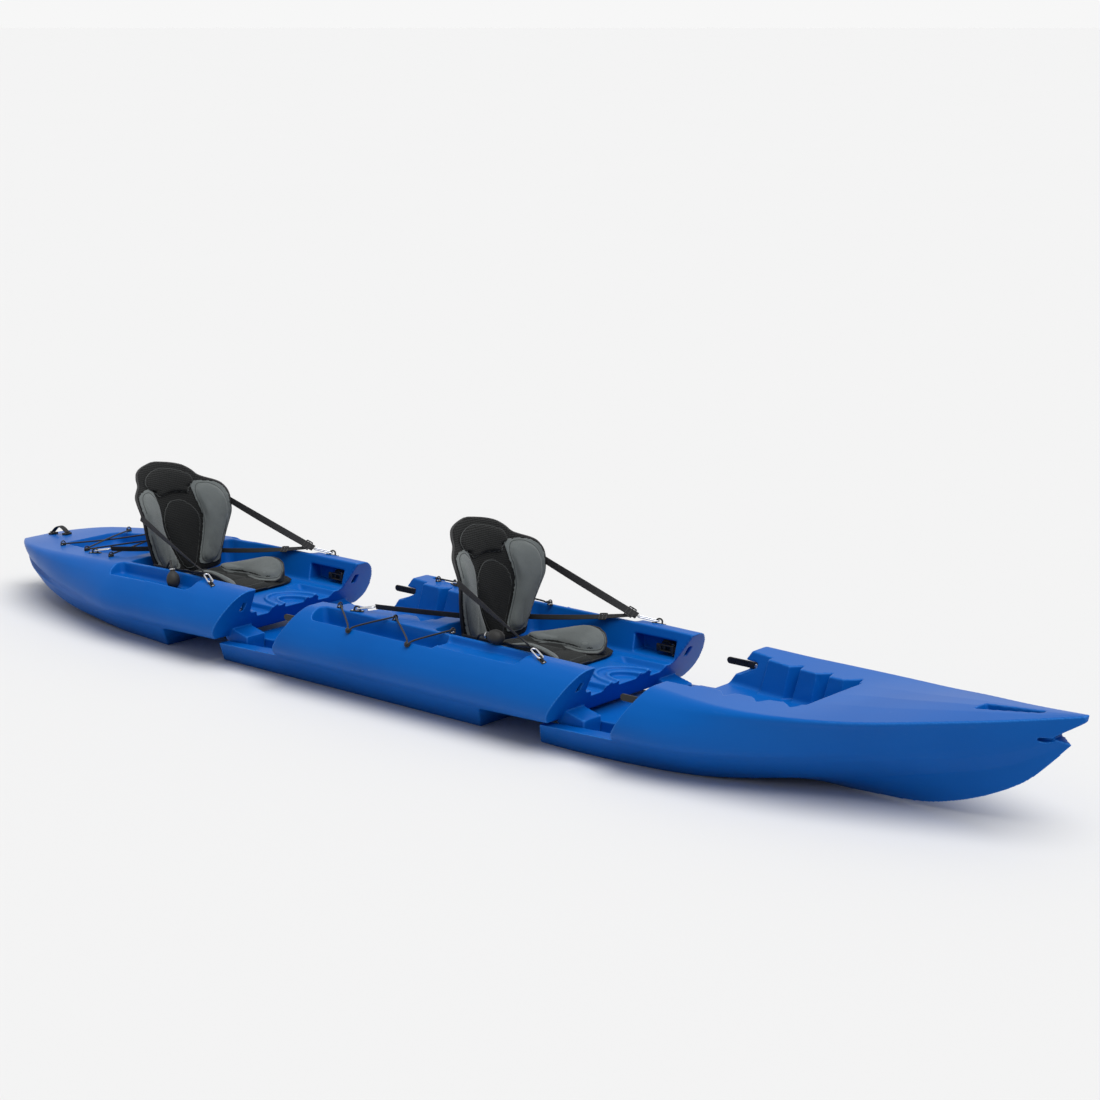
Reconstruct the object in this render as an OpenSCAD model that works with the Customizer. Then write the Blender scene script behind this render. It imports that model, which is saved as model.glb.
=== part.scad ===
// Three-section sit-on-top tandem kayak, drawn pulled apart ready for joining.
// Millimetres, bow along +X, port along +Y, flat bottom on Z = 0.

/* [Hull] */
// Stern section, from its tip to the mid tongue end when joined
stern_len = 1136; // [950:2:1400]
// Mid tongue end to mid keel step
mid_pitch = 1219; // [1150:1:1350]
// Bow section, from its tongue end to the beak
bow_len = 1742; // [1500:2:2100]
// Largest beam
beam = 756; // [720:2:820]
// Gunwale height over the flat bottom
depth = 283; // [270:1:310]
// Flat bottom width
bottom_w = 510; // [440:2:560]
// Height of the crease above the bottom panel
crease_h = 92; // [80:1:100]
// Height of the bow beak
bow_h = 372; // [340:1:420]

/* [Section joint] */
// Pulled-apart distance of the stern
stern_travel = 298; // [120:1:310]
// Pulled-apart distance of the bow
bow_travel = 250; // [120:1:310]
// Gap left between joined faces
face_clear = 1.5; // [1:0.1:4]
// Lean of the joint faces, run over rise
face_lean = 0.64; // [0.5:0.01:0.75]
// Tongue length along the bottom
tongue_len = 290; // [270:1:310]
// Tongue height at its end
tongue_h = 86; // [76:1:92]
// Tongue rise toward its root
tongue_rise = 16; // [8:1:20]
// Lug width
lug_w = 86; // [60:1:100]
// Lug reach ahead of the face
lug_reach = 72; // [40:1:90]
// Lug distance from the centre line
lug_y = 233; // [215:1:240]
// Running clearance round a lug
lug_clear = 3; // [2:0.5:6]

/* [Wells] */
// Cockpit half width at the rim
well_y = 255; // [240:1:262]
// Seat floor height
floor_z = 183; // [170:1:195]
// Footwell floor height
foot_z = 168; // [158:1:180]
// Footwell step pitch
step_pitch = 113; // [105:1:118]
// Footwell step depth
step_d = 62; // [40:1:70]
// Side trough width
trough_w = 82; // [70:1:90]
// Side trough depth
trough_d = 62; // [50:1:75]
// Side shelf depth
shelf_d = 26; // [15:1:40]
// Tank well depth
tank_d = 70; // [50:1:90]

/* [Ladder straps and ratchets] */
// Strap height over the bottom
strap_z = 217; // [212:1:222]
// Strap distance from the centre line
strap_y = 272; // [268:0.5:276]
// Strap width
strap_w = 22; // [18:0.5:25]
// Strap thickness
strap_t = 5; // [4:0.5:6]
// Strap length
strap_l = 140; // [120:1:160]
// Strap tooth pitch
tooth_p = 9; // [7:0.5:12]
// Strap bolt radius
bolt_r = 3; // [2.5:0.25:3.5]
// Strap side clearance in its hole
strap_clear = 4; // [2:0.5:5]
// Ratchet length
ratchet_l = 84; // [70:1:92]
// Ratchet plate thickness
plate_t = 4; // [3:0.5:5]
// Ratchet pin radius
pin_r = 3; // [2.5:0.25:3.5]
// Pin running clearance
pin_clear = 0.08; // [0.04:0.01:0.1]

/* [Seats] */
// Seat pad length
pad_l = 356; // [320:1:400]
// Seat pad half width
pad_y = 186; // [160:1:200]
// Seat pad thickness
pad_t = 44; // [34:1:56]
// Thigh bolster height over the pad
thigh_h = 46; // [30:1:56]
// Backrest height
back_h = 404; // [370:1:450]
// Backrest half width
back_y = 213; // [195:1:236]
// Front backrest recline, run over rise
front_recline = 0.12; // [0.1:0.01:0.24]
// Rear backrest recline, run over rise
rear_recline = 0.28; // [0.16:0.01:0.4]
// Backrest panel thickness
back_t = 28; // [20:1:34]
// Side bolster thickness
bolster_t = 30; // [20:1:38]
// Forward wrap of the backrest sides
wrap = 76; // [30:1:84]
// Backward curl of the backrest top
curl = 75; // [40:1:90]
// Pump bulb radius
bulb_r = 21; // [17:0.5:24]

/* [Lines and fittings] */
// Webbing width
web_w = 25; // [20:1:30]
// Webbing thickness
web_t = 2.4; // [2:0.2:4]
// Bungee radius
bungee_r = 3; // [2.5:0.25:4]
// Pad eye wire radius
eye_r = 3; // [2.5:0.25:3.5]
// Snap hook wire radius
hook_r = 3; // [2.5:0.25:3.5]
// Gap under fitted pieces
fit_gap = 0.4; // [0.3:0.05:0.8]
// Facets round a bent wire
wire_n = 8; // [6:2:12]

/* [Hidden] */

hull_blue = [0.05, 0.27, 0.62];
black = [0.08, 0.08, 0.09];
grey = [0.4, 0.42, 0.43];
steel = [0.75, 0.76, 0.78];

// Places along the boat
rest_len = stern_len + mid_pitch + bow_len + stern_travel + bow_travel + 2 * face_clear;
mid_x = stern_len + stern_travel + face_clear - rest_len / 2;
stern_x = mid_x - stern_travel - face_clear;
bow_x = mid_x + bow_travel + face_clear;
half_beam = beam / 2;
tongue_top = tongue_h + tongue_rise;
lift_clear = 2;
lug_z = tongue_h - 30;
latch_y = strap_y + 15;
trough_y = well_y + 3;
strap_bolt_x = 452;
strap_root = 475;
$fn = 24;

// Smooth run through a table of [place, value] pairs
function seg(t, tab, i = 0) = i < len(tab) - 2 && t > tab[i + 1][0] ? seg(t, tab, i + 1) : i;
function rate(tab, i) = let (a = max(i - 1, 0), b = min(i + 1, len(tab) - 1))
    (tab[b][1] - tab[a][1]) / (tab[b][0] - tab[a][0]);
function curve(t, tab) = let (i = seg(t, tab), h = tab[i + 1][0] - tab[i][0],
    u = max(0, min(1, (t - tab[i][0]) / h)), v = 1 - u)
    tab[i][1] * (1 + 2 * u) * v * v + tab[i + 1][1] * u * u * (3 - 2 * u)
    + h * u * v * (rate(tab, i) * v - rate(tab, i + 1) * u);
function mix(a, b, u) = a + (b - a) * u;

// Hull lines, as parts of each end's length against parts of a size
bow_plan = [[0, 1], [0.2, 1], [0.32, 0.98], [0.45, 0.9], [0.6, 0.73], [0.75, 0.5], [0.88, 0.26], [1, 0.035]];
bow_bottom = [[0, 1], [0.12, 1], [0.22, 0.94], [0.32, 0.82], [0.42, 0.62], [0.55, 0.4], [0.72, 0.2],
    [1, 0.012]];
bow_keel = [[0, 0], [0.5, 0], [0.6, 0.004], [0.742, 0.067], [0.887, 0.355], [0.976, 0.753], [1, 0.94]];
bow_edge = [[0, 0], [0.28, 0], [0.38, 0.02], [0.46, 0.07], [0.58, 0.17], [0.72, 0.3], [0.87, 0.5],
    [0.976, 0.79], [1, 0.95]];
bow_crease = [[0, 0], [0.2, 0], [0.4, 0.03], [0.55, 0.12], [0.72, 0.29], [0.87, 0.5], [0.976, 0.79],
    [1, 0.955]];
bow_sheer = [[0, 0], [0.24, -0.01], [0.38, -0.12], [0.5, -0.1], [0.65, 0.08], [0.77, 0.36], [0.88, 0.64],
    [1, 1]];
bow_turn = [[0, 0], [0.24, 0], [0.5, 0.75], [0.66, 1], [1, 1]];
bow_crown = [[0, 0], [0.5, 0], [0.62, 12], [0.8, 14], [0.94, 6], [1, 2]];
stern_plan = [[0, 1], [0.2, 0.98], [0.4, 0.885], [0.54, 0.795], [0.65, 0.69], [0.7, 0.632], [0.777, 0.52],
    [0.838, 0.4], [0.891, 0.282], [0.935, 0.178], [0.979, 0.07], [1, 0.014]];
stern_bottom = [[0, 1], [0.22, 0.9], [0.4, 0.84], [0.56, 0.76], [0.72, 0.6], [0.84, 0.385], [0.94, 0.14],
    [1, 0.012]];
stern_keel = [[0, 0], [0.22, 0], [0.4, 0.06], [0.56, 0.13], [0.72, 0.24], [0.84, 0.36], [0.94, 0.48],
    [1, 0.56]];
stern_crease = [[0, 0.325], [0.3, 0.33], [0.56, 0.39], [0.72, 0.45], [0.84, 0.5], [0.94, 0.56], [1, 0.6]];
stern_sheer = [[0, 1], [0.2, 0.972], [0.45, 0.92], [0.65, 0.868], [0.77, 0.836], [0.86, 0.79], [0.93, 0.735],
    [0.975, 0.68], [1, 0.62]];
stern_flare = [[0, 0], [0.2, 0], [0.55, 0.5], [0.8, 1], [1, 1]];
side_y = [0.968, 1, 0.975, 0.926, 0.878, 0.815, 0.741];
side_z = [0.157, 0.335, 0.565, 0.75, 0.864, 0.958, 1];
flare_y = [0.76, 0.87, 0.945, 0.985, 1, 0.985, 0.925];
turn_y = [0.28, 0.5, 0.7, 0.87, 1, 0.985, 0.9];
turn_z = [0.2, 0.42, 0.64, 0.82, 0.93, 0.99, 1];

// Half section at a place along the joined hull, keel first, deck centre last
function half(s) = let (
    tb = max(0, min(1, (s - mid_pitch) / bow_len)), ts = max(0, min(1, -s / stern_len)),
    w = half_beam * curve(tb, bow_plan) * curve(ts, stern_plan),
    yb = bottom_w / 2 * curve(tb, bow_bottom) * curve(ts, stern_bottom),
    zk = max(0, bow_h * curve(tb, bow_keel) + depth * curve(ts, stern_keel)),
    zb = max(zk, bow_h * curve(tb, bow_edge) + depth * curve(ts, stern_keel)),
    zc = tb > 0 ? mix(crease_h, bow_h, curve(tb, bow_crease))
        : crease_h + depth * (curve(ts, stern_crease) - stern_crease[0][1]),
    zs = tb > 0 ? mix(depth, bow_h, curve(tb, bow_sheer)) : depth * curve(ts, stern_sheer),
    f = max(0, curve(tb, bow_turn)), g = max(0, curve(ts, stern_flare)), cr = curve(tb, bow_crown),
    yc = mix(mix(0.873 * w, mix(yb, w, 0.55), g), mix(yb, w, 0.45), f),
    side = [for (i = [0:6]) [mix(mix(side_y[i], flare_y[i], g) * w, mix(yc, w, turn_y[i]), f),
        mix(zc, zs, mix(side_z[i], turn_z[i], f))]])
    concat([[0, zk], [yb, zb], [yc, max(zc, zb + 0.4)]], side,
        [[0.42 * side[6][0], zs + 0.75 * cr], [0, zs + cr]]);

// Closed skin through a run of stations
function ring(s) = let (h = half(s), n = len(h))
    concat([for (p = h) [s, p[0], p[1]]], [for (i = [n - 2:-1:1]) [s, -h[i][0], h[i][1]]]);
module loft(stations) {
    m = len(ring(0));
    k = len(stations);
    faces = [for (i = [0:k - 2], j = [0:m - 1], e = [0, 1]) let (a = i * m + j, b = i * m + (j + 1) % m)
        e == 0 ? [a, b + m, b] : [a, a + m, b + m]];
    polyhedron([for (s = stations) each ring(s)],
        concat(faces, [[for (j = [0:m - 1]) j]], [[for (j = [m - 1:-1:0]) (k - 1) * m + j]]));
}

// Prism across the boat from an outline in X and Z
module across(outline, half_w = 500) {
    rotate([90, 0, 0]) linear_extrude(2 * half_w, center = true) polygon(outline);
}
module both() {
    children();
    mirror([0, 1, 0]) children();
}
// Pocket between two outlines at two heights
module pocket(low, z0, high, z1) {
    hull() {
        translate([0, 0, z0]) linear_extrude(0.01) polygon(low);
        translate([0, 0, z1]) linear_extrude(0.01) polygon(high);
    }
}
function face_at(z) = tongue_len + face_lean * z;
function under(z0) = [[-face_lean * 80, -80], [face_lean * (tongue_h - z0), tongue_h - z0],
    [face_at(tongue_top - z0), tongue_top - z0], [face_at(700), 700]];

// Space ahead of a keel step and its leaning face
module ahead() {
    across(concat(under(0), [[face_at(700) + 900, 700], [face_at(700) + 900, -80]]));
}
// Space behind a tongue and its leaning face
module behind() {
    across(concat(under(lift_clear), [[-900, 700], [-900, -80]]));
}

// Joint cuts and cockpit of a section that has a seat, from its keel step
module cockpit_cut() {
    rim = well_y;
    foot = well_y - 34;
    // seat well, open at the front
    pocket([[-190, -foot], [600, -foot], [600, foot], [-190, foot]], floor_z,
        [[-228, -rim], [600, -rim], [600, rim], [-228, rim]], depth + 30);
    // leg channels and the dip of the console
    both() pocket([[250, 122], [600, 118], [600, 182], [250, 172]], floor_z - 20,
        [[215, 112], [600, 108], [600, 200], [215, 190]], floor_z + 8);
    pocket([[300, -34], [600, -40], [600, 40], [300, 34]], floor_z - 17,
        [[272, -46], [600, -52], [600, 52], [272, 46]], floor_z + 6);
    // latch recess and strap hole in each side wall
    both() {
        pocket([[240, 200], [404, 200], [404, latch_y], [240, latch_y]], strap_z - 25,
            [[236, 200], [408, 200], [408, latch_y], [236, latch_y]], strap_z + 34);
        translate([390, strap_y - strap_t / 2 - strap_clear, strap_z - strap_w / 2 - strap_clear])
            cube([90, strap_t + 2 * strap_clear, strap_w + 2 * strap_clear]);
    }
}
module console() {
    // raised console ahead of the seat, with a rib each side of the dip
    both() pocket([[262, 48], [430, 48], [430, 112], [262, 104]], floor_z - 1,
        [[290, 58], [430, 62], [430, 102], [290, 96]], floor_z + 13);
}
// Trough in the gunwale between two places
module trough(x0, x1, d) {
    y1 = trough_y + trough_w;
    pocket([[x0 + 18, trough_y + 8], [x1 - 18, trough_y + 8], [x1 - 18, y1 - 10], [x0 + 18, y1 - 10]],
        depth - d, [[x0, trough_y + 20], [x0 + 20, trough_y], [x1 - 20, trough_y], [x1, trough_y + 20],
            [x1, y1 - 20],
        [x1 - 20, y1], [x0 + 20, y1], [x0, y1 - 20]], depth + 10);
}
module lugs() {
    top = tongue_top + 30;
    x1 = face_at(top) + lug_reach;
    both() hull() {
        translate([face_at(tongue_top) - 30, lug_y - lug_w / 2, tongue_top - 0.5]) cube([40, lug_w, 30]);
        translate([face_at(tongue_top) + 14, lug_y - lug_w / 2, lug_z]) cube([8, lug_w, 4]);
        translate([x1 - 12, lug_y - lug_w / 2, lug_z]) cube([8, lug_w, 4]);
        translate([x1 - 4, lug_y - lug_w / 2, lug_z + 40]) cube([4, lug_w, 16]);
    }
}

// Footwells, strap seats and lug channels of a section that has a tongue, from its tongue end
module footwell_cut() {
    far = 936;
    in0 = 214;
    lug_in = lug_y - lug_w / 2 - lug_clear;
    lug_out = lug_y + lug_w / 2 + lug_clear;
    lug_end = face_at(tongue_top + 30) + lug_reach + lug_clear + 4;
    channel = [[-40, lug_in], [lug_end, lug_in], [lug_end, lug_out], [-40, lug_out]];
    pocket([[330, -176], [far - 44, -132], [far - 44, 132], [330, 176]], foot_z,
        [[330, -in0], [far, -154], [far, 154], [330, in0]], depth + 40);
    both() {
        // mouth beside the strap seat
        pocket([[330, 120], [540, 120], [540, 172], [330, 206]], foot_z,
            [[330, 120], [560, 120], [560, 222], [330, 250]], depth + 40);
        // saw-tooth steps
        for (i = [0:2]) let (x = 588 + step_pitch * i, y = 160 - 9 * i)
            pocket([[x - 24, 90], [x + 72, y + step_d * 0.35], [x + 92, 90]], foot_z,
                [[x - 2, 90], [x, y], [x + 90, y + step_d], [x + 112, y - 8], [x + 112, 90]], depth + 40);
        // strap seat
        translate([380, 200, strap_z - strap_w / 2 - strap_clear])
            cube([120, strap_y + strap_t / 2 + fit_gap - 200, strap_w + 2 * strap_clear]);
        translate([strap_bolt_x, strap_y, strap_z]) rotate([-90, 0, 0]) cylinder(r = bolt_r + fit_gap,
            h = 30);
        // lug channel
        pocket(channel, lug_z - lug_clear, channel, tongue_top + 34);
    }
}

module stern_hull() {
    color(hull_blue) translate([stern_x, 0, 0]) union() {
        difference() {
            loft([for (t = [1, 0.99, 0.97, 0.94, 0.9, 0.85, 0.775, 0.71, 0.64, 0.56, 0.48, 0.4, 0.3, 0.2,
                0.1])
                -t * stern_len, 8, 200, 400, 600]);
            ahead();
            cockpit_cut();
            both() trough(-236, 226, trough_d - 12);
            // tank well
            pocket([[-720, -120], [-300, -190], [-300, 190], [-720, 120]], depth - tank_d - 12,
                [[-770, -130], [-262, -218], [-262, 218], [-770, 130]], depth + 20);
        }
        console();
        lugs();
    }
}
module mid_hull() {
    color(hull_blue) translate([mid_x, 0, 0]) difference() {
        union() {
            difference() {
                loft([-60, 100, 400, 700, 1000, mid_pitch + 8, mid_pitch + 120, mid_pitch + 240,
                    mid_pitch + 360,
                    mid_pitch + 480, mid_pitch + 600]);
                translate([mid_pitch, 0, 0]) ahead();
                translate([mid_pitch, 0, 0]) cockpit_cut();
                footwell_cut();
                behind();
            }
            translate([mid_pitch, 0, 0]) console();
            translate([mid_pitch, 0, 0]) lugs();
        }
        // side troughs, deep aft and shallow ahead
        both() {
            trough(516, 1104, trough_d);
            trough(1080, 1450, shelf_d);
        }
    }
}
module bow_hull() {
    color(hull_blue) translate([bow_x + mid_pitch, 0, 0]) difference() {
        translate([-mid_pitch, 0, 0]) loft([for (t = [-0.04, 0.08, 0.16, 0.24, 0.3, 0.36, 0.42, 0.48, 0.54,
            0.6, 0.66, 0.72, 0.78, 0.84, 0.89, 0.93, 0.96, 0.98, 1]) mid_pitch + t * bow_len]);
        behind();
        footwell_cut();
        // notch under the beak
        across([[0.948 * bow_len, 0.797 * bow_h], [1.03 * bow_len, 0.67 * bow_h],
            [1.03 * bow_len, 1.05 * bow_h], [0.99 * bow_len, 0.92 * bow_h]], 80);
        // handle slot in the foredeck
        pocket([[0.815 * bow_len, -26], [0.92 * bow_len, -8], [0.92 * bow_len, 8], [0.815 * bow_len, 26]],
            bow_h - 72, [[0.8 * bow_len, -40], [0.93 * bow_len, -12], [0.93 * bow_len, 12],
            [0.8 * bow_len, 40]], bow_h + 20);
    }
}

// Shaped runs: a skin through rings, a ribbon and a round line along a path
module skin(rings, ends = true) {
    m = len(rings[0]);
    k = len(rings);
    last = ends ? k - 2 : k - 1;
    faces = [for (i = [0:last], j = [0:m - 1], e = [0, 1])
        let (h = (i + 1) % k * m, a = i * m + j, b = i * m + (j + 1) % m, c = h + j, d = h + (j + 1) % m)
        e == 0 ? [a, d, b] : [a, c, d]];
    caps = ends ? [[for (j = [0:m - 1]) j], [for (j = [m - 1:-1:0]) (k - 1) * m + j]] : [];
    polyhedron([for (r = rings) each r], concat(faces, caps));
}
function unit(v) = v / norm(v);
function heading(path, i, closed) = let (n = len(path))
    closed ? unit(path[(i + 1) % n] - path[(i + n - 1) % n])
    : unit(path[min(i + 1, n - 1)] - path[max(i - 1, 0)]);
module line(path, r, side = [0, 0, 1], closed = false) {
    skin([for (i = [0:len(path) - 1]) let (t = heading(path, i, closed),
        n = unit(side - (side * t) * t), b = cross(t, n))
        [for (j = [0:wire_n - 1]) let (a = 360 * j / wire_n) path[i] + r * (cos(a) * n + sin(a) * b)]],
        !closed);
}
module ribbon(path, w, t, side) {
    skin([for (i = [0:len(path) - 1]) let (h = heading(path, i, false),
        n = unit(side - (side * h) * h), b = cross(h, n))
        [for (q = [[1, -1], [1, 1], [-1, 1], [-1, -1]]) path[i] + q[0] * w / 2 * n + q[1] * t / 2 * b]]);
}
function arc(c, r, a0, a1, n) = [for (i = [0:n]) let (a = mix(a0, a1, i / n)) c + r * [cos(a), sin(a)]];

// Ladder strap, its bolt, and the ratchet that takes it, all on the port side
module ladder_strap() {
    translate([strap_root - strap_l, strap_y - strap_t / 2, strap_z]) difference() {
        union() {
            translate([strap_w / 2, 0, -strap_w / 2]) cube([strap_l - strap_w / 2, strap_t, strap_w]);
            translate([strap_w / 2, 0, 0]) rotate([-90, 0, 0]) cylinder(r = strap_w / 2, h = strap_t);
        }
        translate([strap_bolt_x - strap_root + strap_l, -1, 0]) rotate([-90, 0, 0])
            cylinder(r = bolt_r + fit_gap, h = strap_t + 2);
        for (i = [0:floor((strap_l - 70) / tooth_p)])
            translate([14 + i * tooth_p, -1, -strap_w / 2 + 4]) cube([tooth_p / 2, 2.2, strap_w - 8]);
    }
}
module strap_bolt() {
    translate([strap_bolt_x, strap_y - strap_t / 2 - fit_gap, strap_z]) rotate([-90, 0, 0]) {
        cylinder(r = bolt_r, h = strap_t + 24);
        translate([0, 0, -4]) cylinder(r1 = bolt_r + 2, r2 = bolt_r + 4, h = 4);
    }
}
ratchet_x = 396 - ratchet_l;
cheek_z = strap_w / 2 + 2.5;
pin_x = 382;
pin_y = strap_y - 19;
module ratchet_base() {
    back = latch_y - fit_gap;
    union() {
        translate([ratchet_x, back - plate_t, strap_z - cheek_z - plate_t])
            cube([ratchet_l, plate_t, 2 * (cheek_z + plate_t)]);
        for (z = [strap_z - cheek_z - plate_t, strap_z + cheek_z])
            translate([pin_x - 26, pin_y - 8, z]) cube([40, back - pin_y + 8, plate_t]);
        translate([pin_x, pin_y, strap_z - cheek_z - plate_t]) cylinder(r = pin_r,
            h = 2 * (cheek_z + plate_t));
    }
}
module ratchet_lever() {
    w = 2 * (cheek_z - 1);
    translate([pin_x, pin_y, strap_z - w / 2]) difference() {
        union() {
            cylinder(r = 9, h = w);
            translate([-46, -8.5, 0]) cube([46, 17, w]);
            translate([-64, -8.5, 0]) cube([20, 10, w]);
        }
        translate([0, 0, -1]) cylinder(r = pin_r + pin_clear, h = w + 2);
        translate([-56, -14, 6]) cube([30, 9, w - 12]);
    }
}

// Seat frame: X from the keel step of its section, backrest foot at seat_o
seat_o = -168;
pad_o = -142;
back_z = floor_z + 14;
pad_plan = [[0, 0.5], [0.03, 0.7], [0.1, 0.79], [0.5, 0.87], [0.82, 1], [0.93, 0.97], [0.98, 0.84],
    [1, 0.66]];
pad_edge = [[0, 0.3], [0.03, 0.72], [0.08, 0.95], [0.14, 1], [0.86, 1], [0.92, 0.96], [0.97, 0.75],
    [1, 0.34]];
pad_rows = [0, 0.015, 0.05, 0.14, 0.26, 0.36, 0.46, 0.56, 0.66, 0.76, 0.88, 0.95, 0.985, 1];
pad_cols = [-1, -0.97, -0.88, -0.46, -0.36, -0.26, 0, 0.26, 0.36, 0.46, 0.88, 0.97, 1];
function crown(u) = let (a = abs(u)) a > 0.96 ? 0.5 : a > 0.9 ? 0.86 : 1;
// Centre of the pad is crowned, with a channel beside each thigh bolster and two across
function pad_top(u, v) = let (a = abs(u), ch = max(0, 1 - abs(a - 0.36) / 0.1), fill = max(0, 1 - a / 0.36),
    cross_ch = a < 0.4 ? max(0, 1 - abs(v - 0.36) / 0.05) + max(0, 1 - abs(v - 0.66) / 0.05) : 0)
    pad_t * curve(v, pad_edge) * crown(u) - 8 * ch + 7 * sqrt(fill) - 6 * cross_ch;
module seat_pad() {
    z0 = floor_z + fit_gap;
    skin([for (v = pad_rows) let (x = pad_o + v * pad_l, h = pad_y * curve(v, pad_plan))
        concat([for (u = pad_cols) [x, u * h, z0 + (abs(u) > 0.9 ? 5 : 0) + (v < 0.01 || v > 0.99 ? 6 : 0)]],
            [for (i = [len(pad_cols) - 1:-1:0]) let (u = pad_cols[i])
                [x, u * h, z0 + 8 + pad_top(u, v) * 0.84]])]);
}
// Teardrop pad on each side of the seat, low at the back and full at the front
thigh_plan = [[0, 0.2], [0.06, 0.42], [0.25, 0.55], [0.5, 0.7], [0.78, 1], [0.92, 0.9], [0.98, 0.62],
    [1, 0.34]];
thigh_rise = [[0, 0.12], [0.06, 0.3], [0.3, 0.5], [0.55, 0.72], [0.8, 1], [0.93, 0.92], [0.98, 0.55],
    [1, 0.16]];
thigh_rows = [0, 0.04, 0.12, 0.26, 0.42, 0.58, 0.74, 0.86, 0.94, 0.985, 1];
thigh_cols = [-1, -0.88, -0.5, 0, 0.5, 0.88, 1];
module thigh_bolster() {
    l = pad_l * 0.9;
    z0 = floor_z + 2 * fit_gap + 8 + pad_t * 0.84;
    skin([for (v = thigh_rows) let (x = pad_o + 34 + v * l, w = 0.31 * pad_y * curve(v, thigh_plan),
        yc = pad_y * mix(0.56, 0.62, v))
        concat([for (u = thigh_cols) [x, yc + u * w, z0]],
            [for (i = [len(thigh_cols) - 1:-1:0]) let (u = thigh_cols[i])
                [x, yc + u * w, z0 + 3 + thigh_h * curve(v, thigh_rise) * sqrt(max(0, 1 - pow(abs(u),
                    3)))]])]);
}
// Backrest: half width and forward wrap against height
back_plan = [[0, 0.556], [0.03, 0.685], [0.1, 0.726], [0.3, 0.848], [0.5, 0.965], [0.6, 0.985], [0.68, 1],
    [0.735, 0.988], [0.79, 0.92], [0.85, 0.68], [0.91, 0.592], [0.96, 0.45], [1, 0.12]];
back_wrap = [[0, 0.15], [0.4, 0.75], [0.65, 1], [1, 0.85]];
back_rows = [0, 0.03, 0.1, 0.2, 0.32, 0.44, 0.54, 0.61, 0.67, 0.72, 0.76, 0.8, 0.83, 0.86,
    0.92, 0.965, 1];
back_cols = [-1, -0.95, -0.85, -0.7, -0.52, -0.34, -0.17, 0, 0.17, 0.34, 0.52, 0.7, 0.85, 0.95, 1];
function back_w(v) = back_y * curve(v, back_plan);
function rise(v) = v * back_h / sqrt(1 + $lean * $lean);
function back_mid(y, v) = seat_o - $lean * rise(v) - curl * pow(max(0, 2 * v - 1), 2)
    + wrap * curve(v, back_wrap) * pow(y / back_y, 2);
function back_half(u) = 4 + (back_t / 2 - 4) * sqrt(max(0, 1 - pow(abs(u), 6)));
module back_panel() {
    skin([for (v = back_rows) let (w = back_w(v), z = back_z + rise(v),
        k = v < 0.01 || v > 0.99 ? 0.45 : v < 0.05 || v > 0.95 ? 0.8 : 1)
        concat([for (u = back_cols) [back_mid(u * w, v) + k * back_half(u), u * w, z]],
            [for (i = [len(back_cols) - 1:-1:0]) let (u = back_cols[i])
                [back_mid(u * w, v) - k * back_half(u), u * w, z]])]);
}
// Cushion standing on the front of the backrest between two heights and two sides
module on_back(v0, v1, a, b, rows, cols, thick) {
    gap = 1.8;
    skin([for (q = rows) let (v = mix(v0, v1, (q + 1) / 2), w = back_w(v), z = back_z + rise(v),
        y0 = curve(v, a) * w, y1 = curve(v, b) * w, e = sqrt(max(0, 1 - pow(abs(q), 6))))
        concat([for (p = cols) let (y = mix(y0, y1, (p + 1) / 2))
                [back_mid(y, v) + back_t / 2 + gap + 2 + thick * e * sqrt(max(0, 1 - pow(abs(p), 4))), y, z]],
            [for (i = [len(cols) - 1:-1:0]) let (y = mix(y0, y1, (cols[i] + 1) / 2))
                [back_mid(y, v) + back_t / 2 + gap, y, z]])]);
}
fine_rows = [-1, -0.95, -0.82, -0.6, -0.32, 0, 0.32, 0.6, 0.82, 0.95, 1];
fine_cols = [-1, -0.86, -0.5, 0, 0.5, 0.86, 1];
module back_bolster() {
    on_back(0.06, 0.8, [[0, 0.42], [0.3, 0.5], [0.55, 0.42], [0.7, 0.43], [0.8, 0.6]],
        [[0, 0.93], [0.3, 0.95], [0.6, 0.955], [0.7, 0.955], [0.8, 0.94]], fine_rows, fine_cols, bolster_t);
}
module head_pad() {
    on_back(0.76, 0.965, [[0.75, -0.38], [0.8, -0.5], [0.85, -0.82], [0.96, -0.8]],
        [[0.75, 0.38], [0.8, 0.5], [0.85, 0.82], [0.96, 0.8]],
        [-1, -0.86, -0.5, 0, 0.5, 0.86, 1], fine_cols, bolster_t * 0.55);
}

// Pump bulb with its neck, and the hose over the rim to the seat pad
module pump(at) {
    bulb = [for (i = [1:6]) let (a = -90 + 24 * i) [bulb_r * cos(a), 1.3 * bulb_r * sin(a)]];
    neck = 0.32 * bulb_r;
    translate(at) rotate([0, 90, 0]) rotate_extrude() polygon(concat([[0, -1.3 * bulb_r]], bulb,
        [[neck, 1.25 * bulb_r], [neck, 1.7 * bulb_r], [0, 1.7 * bulb_r]]));
}
module hose(at) {
    x = [[0, at[0] - 1.41 * bulb_r], [0.25, 18], [0.4, -10], [0.55, -40], [0.8, -72], [1, pad_o + 54]];
    y = [[0, at[1]], [0.25, -well_y - 2], [0.4, -well_y + 19], [0.55, -well_y + 33], [0.8, -pad_y - 10],
        [1, -0.828 * pad_y]];
    z = [[0, at[2]], [0.25, depth + 16], [0.4, depth + 8], [0.55, depth - 21], [0.8, floor_z + 33],
        [1, floor_z + 21]];
    line([for (i = [0:10]) [curve(i / 10, x), curve(i / 10, y), curve(i / 10, z)]], 4);
}

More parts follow.
